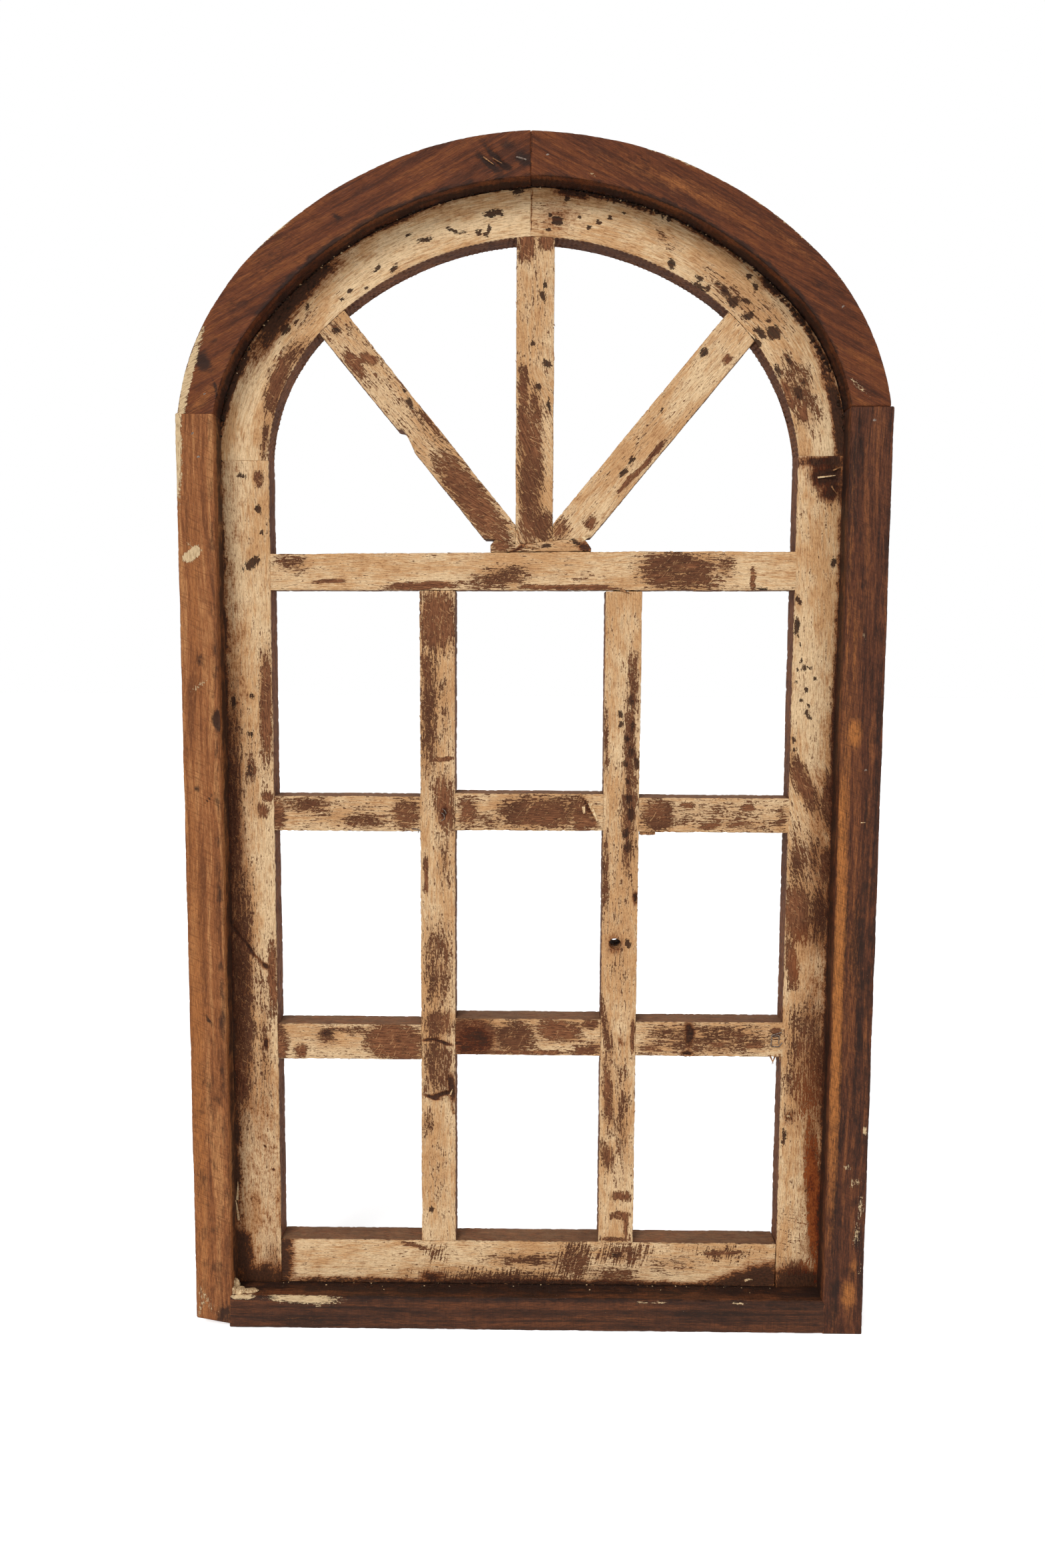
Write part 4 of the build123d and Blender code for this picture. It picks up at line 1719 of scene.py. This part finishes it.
@dataclass
class FanLight:
    """The three fan bars and the packing wedge that they stand on."""

    foot_z: float = 649.5
    length: float = 240.0
    centre_x: float = 1.1
    centre_width: float = 30.6
    packer_top: Profile = ((-34, 658.5), (-14.2, 654.5), (16.4, 657.5), (47, 660.0))
    left_marks: Marks = (
        *worn(Wear.BARE, (52, -1, 92, 25, 2, 0.86), (40, -4, 50, 14, 2, 0.96), (120, 11, 34, 5, 0, 0.7),
              (193, -7, 24, 9, 3), (188, 5, 16, 9, -30, 0.95), (14, -6, 14, 14, 0, 0.9)),
        *worn(Wear.CHIP, (142, 8, 7, 4), (153, 11, 4, 3), (222, -2, 6, 6, 0, 0.8)),
        *worn(Wear.CREAM, (115, -10, 26, 5)),
    )
    centre_marks: Marks = (
        *worn(Wear.BARE, (62, -3, 118, 20, 0, 0.84), (40, -5, 70, 10, 0, 0.96), (96, -9, 44, 8, 0, 0.9),
              (125, -9, 36, 8, 0, 0.9), (112, 1, 30, 7, -14, 0.8), (236, -7, 22, 12),
              (238, 8, 11, 12, 0, 0.95), (20, 3, 24, 24, 0, 0.85)),
        *worn(Wear.CHIP, (146, 9.5, 6, 7), (114, 11, 10, 3, 0, 0.9), (128, 3, 5, 4),
              (197, 6, 8, 4, -15), (206, 7.5, 5, 3), (161, -2, 4, 3)),
    )
    right_marks: Marks = (
        *worn(Wear.BARE, (14, -8, 16, 14, 20, 0.8), (34, 8, 10, 9, 0, 0.9), (75, 9, 22, 4, -4, 0.9),
              (100, 11, 44, 4, 0, 0.9), (200, 8, 9, 7, 0, 0.8)),
        *worn(Wear.CHIP, (82, 2, 8, 4), (93, 1, 6, 3), (193, -10, 6, 5), (138, -6, 5, 2, -15)),
        *worn(Wear.RUBBED, (120, -6, 160, 14, -4, 0.45)),
    )
    packer_marks: Marks = (
        *worn(Wear.GRIME_AND_SHADE, (30, 0, 10, 1.2, 0, 0.8, 0.5), (22, 4, 12, 3, -30, 0.9, 0.6),
              (76, 3, 9, 7, 40, 0.7)),
        *worn(Wear.BARE, (8, 2, 18, 12, 0, 0.85)),
        *worn(Wear.CHIP, (45, 2, 8, 3, 0, 0.9), (68, -1, 10, 4, 30, 0.8)),
        *worn(Wear.RUBBED, (40, 0, 70, 10, 0, 0.5)),
    )

    def course(
        self,
        foot_x: float,
        heading: float,
        width: float,
        arch: ArchLine,
        stop_x: float,
        near: Optional[Profile] = None,
    ) -> FanCourse:
        """The course of one fan bar, with its near edge where that isn't straight."""
        return FanCourse(
            (foot_x, self.foot_z), heading, self.length, near or ((0, -width / 2),), ((0, width / 2),),
            arch=arch, packer_top=self.packer_top, stop_x=stop_x,
        )

    def members(self) -> list[Member]:
        """The bars from left to right, and the packer."""
        side = self.centre_width / 2
        notched = (
            (0, -13.6), (102, -13.6), (107, -12.4), (117, -10.4), (126, -9.8), (129, -13.2), (240, -13.6)
        )
        left = self.course(-14.7, -39.3, 27.2, INTRADOS["left"], self.centre_x - side, notched)
        centre = self.course(self.centre_x, 0.0, self.centre_width, INTRADOS["right"], 0.0)
        right = self.course(18.7, 39.7, 30.9, INTRADOS["right"], self.centre_x + side)
        packer = StraightCourse(
            (-34.0, 655.0), 90.0, 81.0,
            ((0, 1.5), (4, -3.2), (19.8, 0.5), (50.4, -2.5), (70, -4.6), (75, -5.0), (81, 3.5)),
            ((0, 7.2), (81, 6.3)),
        )
        left_drift = ((0, 0), (110, 34), (240, 40))
        centre_drift = ((0, 0), (140, 60), (240, 66))
        return [
            painted("fan_bar_left", left, 27.2, self.left_marks, 0.5, drift=left_drift),
            painted("fan_bar_centre", centre, 30.6, self.centre_marks, 0.4, drift=centre_drift),
            painted("fan_bar_right", right, 30.9, self.right_marks, 0.35),
            painted("fan_packer", packer, 10.0, self.packer_marks, 0.45, laps=(0, 0)),
        ]


# Nails, staples, splinters and curls of paint


class Blank(Enum):
    """The small shapes that are modelled once and copied."""

    STRIP = "strip"
    BALL = "ball"


class Blanks:
    """Models each small shape once and hands out copies, each with its own mesh."""

    def __init__(self) -> None:
        """Start with nothing modelled."""
        self.made: dict[Blank, bpy.types.Mesh] = {}

    def copy(self, kind: Blank, name: str) -> Piece:
        """A new piece in one of the shapes, one unit long.

        Args:
            kind: The shape.
            name: What the piece is called.

        Returns:
            The piece.
        """
        if kind not in self.made:
            self.made[kind] = self.strip() if kind is Blank.STRIP else self.ball()
        piece = bpy.data.objects.new(name, self.made[kind].copy())
        piece.data.name = name
        bpy.context.scene.collection.objects.link(piece)
        return piece

    def strip(self) -> bpy.types.Mesh:
        """Model a flat strip that runs from 0 to 1 along x, cut into short lengths.

        Returns:
            Its mesh.
        """
        deselect_all()
        bpy.ops.mesh.primitive_cube_add(size=1.0, location=(0.5, 0, 0))
        blank = newly_added("strip_blank")
        bpy.ops.object.transform_apply(location=True, rotation=True, scale=True)
        bpy.ops.object.mode_set(mode="EDIT")
        pick_edges(blank.data, lambda edge: abs(edge.verts[1].co.x - edge.verts[0].co.x) > 0.5)
        bpy.ops.mesh.subdivide(number_cuts=7)
        bpy.ops.object.mode_set(mode="OBJECT")
        return self.mesh_of(blank)

    def ball(self) -> bpy.types.Mesh:
        """Model a ball of few faces.

        Returns:
            Its mesh.
        """
        deselect_all()
        bpy.ops.mesh.primitive_uv_sphere_add(segments=6, ring_count=5, radius=0.5, location=(0, 0, 0))
        return self.mesh_of(newly_added("ball_blank"))

    def mesh_of(self, blank: Piece) -> bpy.types.Mesh:
        """Keep the mesh of a blank and clear the blank away."""
        mesh = blank.data
        bpy.data.objects.remove(blank, do_unlink=True)
        return mesh


BLANKS = Blanks()


@dataclass(frozen=True)
class Fitting:
    """A small piece that is set on the front of a member."""

    node: str

    @property
    def look(self) -> Look:
        """Name and finish of its material."""
        return DULL_STEEL

    def shape(self, name: str, member: Member) -> Piece:
        """Model the piece in its place on the member.

        Args:
            name: What the piece is called.
            member: The member that it is set on.

        Returns:
            The bare piece.
        """
        raise NotImplementedError

    def build(self, name: str, member: Member, palette: Palette) -> Piece:
        """Shape the piece and dress it.

        Args:
            name: What the piece is called.
            member: The member that it is set on.
            palette: Where the material comes from.

        Returns:
            The finished piece.
        """
        piece = self.shape(name, member)
        dress(piece, palette.material(self.look))
        return piece


@dataclass(frozen=True)
class Sliver(Fitting):
    """A splinter or curl that is rooted in a member's front and bends away from it.

    The turn is from the member's run towards its far side, the bend is how far the tip has
    turned out of the face, in degrees, and the rest are millimetres.
    """

    along: float
    across: float
    length: float
    width: float
    turn: float
    bend: float = 20.0
    thick: float = 0.6
    tip: float = 0.25
    proud: float = -0.1
    made_of: Look = CREAM_FLAKE

    @property
    def look(self) -> Look:
        """Name and finish of the wood or paint."""
        return self.made_of

    def shape(self, name: str, member: Member) -> Piece:
        """Take a thin strip and bend it out of the face of a member.

        Args:
            name: What the piece is called.
            member: The member that it is rooted in.

        Returns:
            The bare strip.
        """
        strip = BLANKS.copy(Blank.STRIP, name)
        spots = read_vectors(strip.data, "co")
        run = spots[:, 0]
        ragged = 1 + 0.35 * ripple_noise(spots, (5.0, 2.0, 2.0), 0.7 * self.along)
        taper = (1 - (1 - self.tip) * run**1.5) * ragged
        aside = spots[:, 1] * self.width * taper
        out = spots[:, 2] * self.thick * (1 - 0.5 * run)
        bend = math.radians(self.bend) + 1e-6
        radius = self.length / bend
        ahead = (radius - out) * np.sin(bend * run)
        rise = radius - (radius - out) * np.cos(bend * run) + self.proud

        foot = member.spot(self.along, self.across)
        way = np.array((member.spot(self.along + 1, self.across) - foot).normalized())
        side = np.array((member.spot(self.along, self.across + 1) - foot).normalized())
        angle = math.radians(self.turn)
        ahead_way = way * math.cos(angle) + side * math.sin(angle)
        aside_way = side * math.cos(angle) - way * math.sin(angle)
        moves = np.outer(ahead, ahead_way) + np.outer(aside, aside_way) + np.outer(rise, OUTWARDS)
        strip.data.vertices.foreach_set("co", (np.array(foot) + moves * MM).ravel())
        return strip


def splinter(
    node: str, along: float, across: float, length: float, width: float, turn: float, bend: float = 15.0
) -> Sliver:
    """A sliver of raw wood with a sharp tip, with the sizes that any sliver has."""
    return Sliver(
        node, along, across, length, width, turn, bend, thick=0.9, tip=0.1, made_of=RAW_SPLINTER
    )


@dataclass(frozen=True)
class Nail(Fitting):
    """The hammered head of a round nail, a little below or level with the face."""

    along: float
    across: float
    size: float = 3.0
    lean: float = 8.0
    thick: float = 1.1
    sunk: float = 0.72

    def shape(self, name: str, member: Member) -> Piece:
        """Turn a flat head with a worn rim and drive it into its member.

        Args:
            name: What the piece is called.
            member: The member that it is driven into.

        Returns:
            The bare head.
        """
        deselect_all()
        bpy.ops.mesh.primitive_cylinder_add(
            vertices=24,
            radius=self.size / 2 * MM,
            depth=self.thick * MM,
            location=member.spot(self.along, self.across, -self.sunk),
            rotation=(math.radians(90 + self.lean), 0, math.radians(self.along % 11)),
        )
        head = newly_added(name)
        bpy.ops.object.transform_apply(location=True, rotation=True, scale=True)
        bpy.ops.object.mode_set(mode="EDIT")
        bpy.ops.mesh.bevel(offset=0.3 * MM, segments=3, affect="EDGES")
        bpy.ops.mesh.select_all(action="SELECT")
        bpy.ops.mesh.subdivide(number_cuts=1)
        bpy.ops.object.mode_set(mode="OBJECT")
        for vertex in head.data.vertices:
            vertex.co += vertex.normal * 0.12 * MM * noise.noise(vertex.co * 1200)
        return head


@dataclass(frozen=True)
class Wire(Fitting):
    """A staple or a bit of wire through points given as along, across and proud of a member."""

    path: tuple[Triple, ...]
    gauge: float = 0.9

    def shape(self, name: str, member: Member) -> Piece:
        """Draw a round wire through the points, easing its corners.

        Args:
            name: What the piece is called.
            member: The member that it is fixed to.

        Returns:
            The bare wire.
        """
        deselect_all()
        bpy.ops.mesh.primitive_cylinder_add(vertices=10, radius=self.gauge / 2, depth=1.0)
        wire = newly_added(name)
        bpy.ops.object.mode_set(mode="EDIT")
        pick_edges(wire.data, lambda edge: abs(edge.verts[0].co.z - edge.verts[1].co.z) > 0.5)
        bpy.ops.mesh.subdivide(number_cuts=40)
        bpy.ops.object.mode_set(mode="OBJECT")

        points = np.array([member.spot(*point) for point in self.path]) / MM
        legs = np.linalg.norm(np.diff(points, axis=0), axis=1)
        marks = np.concatenate([[0.0], np.cumsum(legs)])
        ease = 0.5 * self.gauge
        tangent_step = 0.3

        def centre(run: np.ndarray) -> np.ndarray:
            """Points of the middle line, averaged over a short length to ease the corners."""
            shifts = (-ease, 0.0, ease)
            return sum(
                np.column_stack([np.interp(run + shift, marks, column) for column in points.T])
                for shift in shifts
            ) / len(shifts)

        spots = read_vectors(wire.data, "co")
        run = (spots[:, 2] + 0.5) * marks[-1]
        place = centre(run)
        way = centre(run + tangent_step) - place
        way[run > marks[-1] - ease - tangent_step] = points[-1] - points[-2]
        way /= np.linalg.norm(way, axis=1)[:, None]
        side = np.cross(way, (0.23, 0.9, 0.37))
        side /= np.linalg.norm(side, axis=1)[:, None]
        up = np.cross(side, way)
        laid = place + side * spots[:, :1] + up * spots[:, 1:2]
        wire.data.vertices.foreach_set("co", (laid * MM).ravel())
        return wire


@dataclass(frozen=True)
class Lump(Fitting):
    """A dab of old putty pressed on a member."""

    along: float
    across: float
    length: float
    width: float
    rise: float
    back: float = 0.3

    @property
    def look(self) -> Look:
        """Name and finish of the putty."""
        return OLD_PUTTY

    def shape(self, name: str, member: Member) -> Piece:
        """Press a ball flat and knead it.

        Args:
            name: What the piece is called.
            member: The member that it sticks to.

        Returns:
            The bare dab.
        """
        deselect_all()
        bpy.ops.mesh.primitive_ico_sphere_add(subdivisions=4, radius=0.5, location=(0, 0, 0))
        dab = newly_added(name)
        foot = member.spot(self.along, self.across, -self.back)
        way = member.spot(self.along + 1, self.across) - member.spot(self.along, self.across)
        spots = read_vectors(dab.data, "co")
        kneaded = 1 + 0.35 * ripple_noise(spots, (3.0, 3.0, 3.0), self.along)[:, None]
        x, y, z = (spots * kneaded * (self.length, self.rise, self.width)).T
        angle = math.atan2(way.z, way.x)
        turned_x = x * math.cos(angle) - z * math.sin(angle)
        turned_z = x * math.sin(angle) + z * math.cos(angle)
        laid = np.column_stack([turned_x, y, turned_z])
        dab.data.vertices.foreach_set("co", (laid * MM + np.array(foot)).ravel())
        return dab


CRUMB_STRETCH = ((0.6, 1.6), (0.5, 1.0), (0.5, 1.1))


@dataclass(frozen=True)
class CrumbLine:
    """Loose dirt or flakes of paint lodged along an edge of a member."""

    node: str
    start: float
    stop: float
    across: float
    spread: float
    reach: float
    count: int
    largest: float = 2.2

    def places(self, member: Member, dice: random.Random) -> list[tuple[Vector, float]]:
        """Where the crumbs lie and how large each is.

        Args:
            member: The member along which they lie.
            dice: Where the chance comes from.

        Returns:
            A place in metres and a size in millimetres for each crumb.
        """
        found = []
        for _ in range(self.count):
            along = dice.uniform(self.start, self.stop)
            across = self.across + dice.uniform(-1, 1) * self.spread
            proud = self.reach * dice.random() ** 2
            found.append((member.spot(along, across, proud), dice.uniform(0.35, 1) * self.largest))
        return found


def scatter_crumbs(
    lines: tuple[CrumbLine, ...],
    members: dict[str, Member],
    look: Look,
    palette: Palette,
    seed: int,
) -> Piece:
    """Copy one rough crumb to every place along the lines.

    Args:
        lines: Where the crumbs lie.
        members: The members by the names of their nodes.
        look: Name of the piece and its material, and the finish.
        palette: Where the material comes from.
        seed: Start of the chance.

    Returns:
        All the crumbs as one piece.
    """
    dice = random.Random(seed)
    name = look[0]
    crumbs = []
    for line in lines:
        for place, size in line.places(members[line.node], dice):
            crumb = BLANKS.copy(Blank.BALL, name)
            stretch = np.array([dice.uniform(*span) for span in CRUMB_STRETCH])
            spots = read_vectors(crumb.data, "co")
            rough = 1 + 0.5 * ripple_noise(spots, (3.0, 3.0, 3.0), dice.uniform(0, 50))[:, None]
            laid = spots * rough * stretch * size * MM + np.array(place)
            crumb.data.vertices.foreach_set("co", laid.ravel())
            crumbs.append(crumb)
    pile = joined(crumbs, name)
    dress(pile, palette.material(look))
    return pile


@dataclass
class Remnants:
    """What is left in and on the members: nails, staples, wire, splinters, curls and putty."""

    dirt: tuple[CrumbLine, ...] = (
        CrumbLine("bottom_rail", 0, 423, 19.2, 0.4, 9.0, 120, 2.0),
        CrumbLine("stile_left", 0, 110, -19.6, 0.8, 4.0, 34, 2.2),
        CrumbLine("stile_left", 110, 690, -19.9, 0.6, 1.2, 40, 1.8),
        CrumbLine("stile_right", 0, 90, 18.4, 0.6, 3.0, 20, 1.8),
        CrumbLine("stile_right", 90, 690, 18.4, 0.5, 1.0, 34, 1.6),
        CrumbLine("sash_arch_left", 0, 335, -19.0, 1.0, 1.8, 130, 2.6),
        CrumbLine("sash_arch_left", 95, 170, -15.0, 4.0, 0.5, 40, 1.8),
        CrumbLine("sash_arch_right", 0, 330, -18.4, 1.0, 1.8, 130, 2.6),
    )
    flakes: tuple[CrumbLine, ...] = (
        CrumbLine("bottom_rail", 0, 423, 19.2, 0.4, 12.0, 26, 1.3),
        CrumbLine("sash_arch_right", 4, 210, -18.2, 0.9, 0.5, 34, 1.5),
        CrumbLine("sash_arch_left", 60, 334, -18.5, 0.9, 0.5, 30, 1.5),
        CrumbLine("stile_left", 0, 120, -19.0, 0.8, 3.0, 8, 1.6),
    )
    fray_pitch: float = 24.0
    nails: tuple[Nail, ...] = (
        Nail("outer_jamb_left", 717, 3),
        Nail("outer_jamb_left", 735, -1),
        Nail("outer_arch_left", 16, 5),
        Nail("outer_jamb_right", 475.5, 4, 2.4),
        Nail("outer_jamb_right", 748, 1.5),
        Nail("outer_arch_right", 13, 1.5),
        Nail("outer_arch_right", 271.5, -5.5),
    )
    wires: tuple[Wire, ...] = (
        Wire(
            "outer_arch_left",
            ((339.5, 2, -2.6), (339.5, 2, -0.7), (346.5, 4.4, -0.7), (346.5, 4.4, -2.6)),
            1.4,
        ),
        Wire(
            "bar_lower_right",
            ((121.5, -7, 0.6), (113, -4.6, 1.4), (112.4, 4.6, 1.6), (119, 5.4, 1.2), (122, 2.0, 0.2)),
            1.0,
        ),
        Wire("bar_lower_right", ((114.6, -3.4, 0.3), (119.4, -4.2, 0.8), (119.0, 3.0, 0.6)), 0.8),
        Wire("muntin_left", ((362, 3.2, 0.1), (364, 5.8, 1.0), (367.5, 5.0, 0.9), (368.5, 3.0, 0.1)), 0.7),
        Wire("muntin_left", ((368, 7.0, 0.1), (370.5, 6.0, 0.9), (372, 3.8, 0.2)), 0.7),
        Wire("bar_upper_left", ((113, 12.0, 0.4), (119.5, 12.6, 1.0), (118.4, 15.6, 0.2)), 0.8),
        Wire("transom", ((240, 14.8, 0.3), (246, 16.0, 0.9), (251, 15.2, 0.2)), 0.7),
    )
    slivers: tuple[Sliver, ...] = (
        Sliver("outer_jamb_right", 433, -5, 10, 1.3, 86, 4, thick=0.4, proud=-0.45),
        Sliver("stile_left", 55, -16.5, 20, 2.0, -4, 22),
        Sliver("stile_left", 73, -17.5, 19, 1.8, 6, 26),
        Sliver("stile_right", 678.5, -3, 14, 1.4, 84, 14, thick=0.5, tip=0.3),
        splinter("stile_right", 672, 8, 8, 1.2, 146, 24),
        splinter("stile_right", 684, 9, 7, 1.1, 66, 24),
        Sliver("stile_right", 151, -13, 6, 1.6, 50, 140),
        Sliver("bar_upper_middle", 110, -8, 16, 2.6, 66, 26, tip=0.5),
        Sliver("bar_upper_middle", 105, -5, 6, 2.6, 84, 40, tip=0.6),
        Sliver(
            "bar_upper_right", 0.5, 14.6, 13, 4.2, 3, 4, thick=5.0, tip=0.7, proud=-4.0,
            made_of=RAW_SPLINTER,
        ),
        Sliver("fan_bar_left", 13, 7, 9, 1.8, -60, 250, thick=0.4, tip=0.7),
        Sliver("fan_packer", 73, -3, 10, 3.4, -24, 70),
        Sliver("muntin_left", 127, 6, 11, 1.3, 60, 300, thick=0.5, tip=0.8),
        Sliver("muntin_left", 129, 10, 6, 1.4, 20, 30),
        Sliver(
            "outer_arch_left", 314, -1, 10, 1.1, 44, 3, thick=0.4, proud=-0.5,
            made_of=RAW_SPLINTER,
        ),
        Sliver(
            "outer_arch_left", 321, 1, 8, 0.9, 36, 3, thick=0.4, proud=-0.5,
            made_of=RAW_SPLINTER,
        ),
        Sliver("bottom_rail", 396, 14, 9, 1.8, -30, 70),
        splinter("bar_lower_right", 112, 13, 8, 1.6, 66),
        splinter("bar_lower_right", 117, 12.5, 9, 1.4, 112),
        splinter("bar_lower_right", 120, 12, 7, 1.8, 84),
        splinter("bar_lower_right", 38, 13, 5, 1.6, 22),
        splinter("bar_lower_right", 48, 13, 4, 1.4, 156),
        splinter("muntin_left", 112, 13, 12, 2.4, -12),
        splinter("fan_bar_centre", 16, -14, 9, 1.6, 160, 10),
        splinter("transom", 282, 14.5, 9, 2.0, 20),
        splinter("bar_lower_left", 119, 10, 5, 2.0, 60),
        splinter("muntin_right", 295, 13.5, 4, 1.4, 16),
        splinter("fan_packer", 28, 3, 12, 1.4, 6, 8),
    )
    lumps: tuple[Lump, ...] = (
        Lump("outer_sill", 6, -15.2, 16, 6, 9, 6.5),
        Lump("outer_sill", 16, -14.6, 14, 4, 8, 7.5),
        Lump("outer_sill", 2.5, -18.0, 8, 11, 7, 11.0),
        Lump("outer_sill", 1.5, -16.0, 7, 8, 6, 4.5),
    )

    def build(self, members: dict[str, Member], palette: Palette) -> list[Piece]:
        """Set every small piece on its member.

        Args:
            members: The members by the names of their nodes.
            palette: Where the materials come from.

        Returns:
            The finished pieces.
        """
        pieces = [
            scatter_crumbs(self.dirt, members, DIRT_CRUMB, palette, 3),
            scatter_crumbs(self.flakes, members, CREAM_CRUMB, palette, 5),
            self.fray(members, palette),
        ]
        groups: dict[str, tuple[Fitting, ...]] = {
            "nail": self.nails,
            "wire": self.wires,
            "sliver": self.slivers,
            "putty": self.lumps,
        }
        for kind, group in groups.items():
            for number, item in enumerate(group, 1):
                pieces.append(item.build(f"{kind}_{number}", members[item.node], palette))
        return pieces

    def fray(self, members: dict[str, Member], palette: Palette) -> Piece:
        """Set small splinters on the edges of the straight sash members.

        Args:
            members: The members by the names of their nodes.
            palette: Where the materials come from.

        Returns:
            All of them as one piece.
        """
        dice = random.Random(11)
        frays = []
        for node, member in members.items():
            if not member.painted or isinstance(member.course, ArchCourse):
                continue
            for _ in range(round(member.course.length / self.fray_pitch)):
                side = dice.choice((-1, 1))
                along = dice.uniform(0.06, 0.94) * member.course.length
                run = np.array([along])
                _, _, _, edge = member.course.lay(run, np.array([0.5 + 0.5 * side]))
                lean = dice.uniform(5, 28)
                bit = Sliver(
                    node, along, float(edge[0]) - 0.8 * side, dice.uniform(1.6, 3.4),
                    dice.uniform(0.5, 1.1), side * (lean if dice.random() < 0.5 else 180 - lean),
                    dice.uniform(2, 14), thick=0.5, tip=0.1, proud=-dice.uniform(0.2, 1.6),
                )
                frays.append(bit.shape("fray", member))
        tuft = joined(frays, "edge_splinters")
        dress(tuft, palette.material(RAW_SPLINTER))
        return tuft


# Studio


@dataclass(frozen=True)
class Studio:
    """A white floor, plain soft light and the camera."""

    camera_place: Triple = (0.005466, -1.057241, 0.578735)
    camera_turn: Triple = (83.6099, -0.2670, 0.7222)
    focal_length: float = 29.767
    sensor_height: float = 36.0
    key_strength: float = 1.9
    fill_strength: float = 0.8
    sky: float = 0.42
    floor_glow: float = 0.6

    def build(self) -> None:
        """Set up the floor, the lamps, the sky and the camera."""
        self.add_floor()
        self.add_lamp("key", self.key_strength, 24.0, (54.0, 0.0, -24.0))
        self.add_lamp("fill", self.fill_strength, 60.0, (72.0, 0.0, 26.0))
        self.add_sky()
        self.add_camera()
        bpy.context.scene.view_settings.view_transform = "Standard"

    def add_floor(self) -> None:
        """A wide white floor that keeps the shadow of the window."""
        deselect_all()
        bpy.ops.mesh.primitive_plane_add(size=24.0, location=(0, 0, 0))
        floor = newly_added("studio_floor")
        graph = Graph.of_material("studio_floor")
        strength = graph.seen() * self.floor_glow
        glow = graph.node("ShaderNodeEmission", inputs={"Color": (1, 1, 1, 1), "Strength": strength})
        matt = graph.node("ShaderNodeBsdfDiffuse", inputs={"Color": (0.8, 0.8, 0.8, 1)})
        both = graph.node("ShaderNodeAddShader", inputs={0: glow, 1: matt})
        floor.data.materials.append(graph.closed(both))

    def add_lamp(
        self, name: str, strength: float, softness: float, turn: Triple
    ) -> None:
        """Add a soft lamp.

        Args:
            name: What the lamp is called.
            strength: Its light on a surface that faces it.
            softness: Angle that it fills, in degrees.
            turn: Its direction as three angles, in degrees.
        """
        lamp = bpy.data.lights.new(name, "SUN")
        lamp.energy = strength
        lamp.angle = math.radians(softness)
        stand = bpy.data.objects.new(name, lamp)
        stand.rotation_euler = Euler([math.radians(angle) for angle in turn])
        bpy.context.scene.collection.objects.link(stand)

    def add_sky(self) -> None:
        """A sky that is white to the camera and lights the window evenly."""
        world = bpy.data.worlds.new("studio_sky")
        bpy.context.scene.world = world
        graph = Graph(world)
        span = {"Value": graph.seen(), "To Min": self.sky, "To Max": 1.0}
        level = graph.node("ShaderNodeMapRange", inputs=span)
        sky = graph.node("ShaderNodeBackground", inputs={"Color": (1, 1, 1, 1), "Strength": level})
        graph.node("ShaderNodeOutputWorld", inputs={"Surface": sky})

    def add_camera(self) -> None:
        """The camera at the place fitted to the edges of the frame."""
        lens = bpy.data.cameras.new("camera")
        lens.sensor_fit = "VERTICAL"
        lens.sensor_height = self.sensor_height
        lens.lens = self.focal_length
        camera = bpy.data.objects.new("camera", lens)
        camera.location = self.camera_place
        camera.rotation_euler = Euler([math.radians(angle) for angle in self.camera_turn])
        bpy.context.scene.collection.objects.link(camera)
        bpy.context.scene.camera = camera


def main() -> None:
    """Build the window from its sub-assemblies, then the studio round it."""
    logging.basicConfig(level=logging.INFO, format="%(message)s")
    palette = Palette()
    members: dict[str, Member] = {}
    for assembly in (OuterFrame(), SashFrame(), GlazingBars(), FanLight()):
        for member in assembly.members():
            member.build(palette)
            members[member.node] = member
        log.info("%s built", type(assembly).__name__)
    remnants = Remnants().build(members, palette)
    log.info("Remnants: %d pieces", len(remnants))
    Studio().build()


if __name__ == "__main__":
    main()
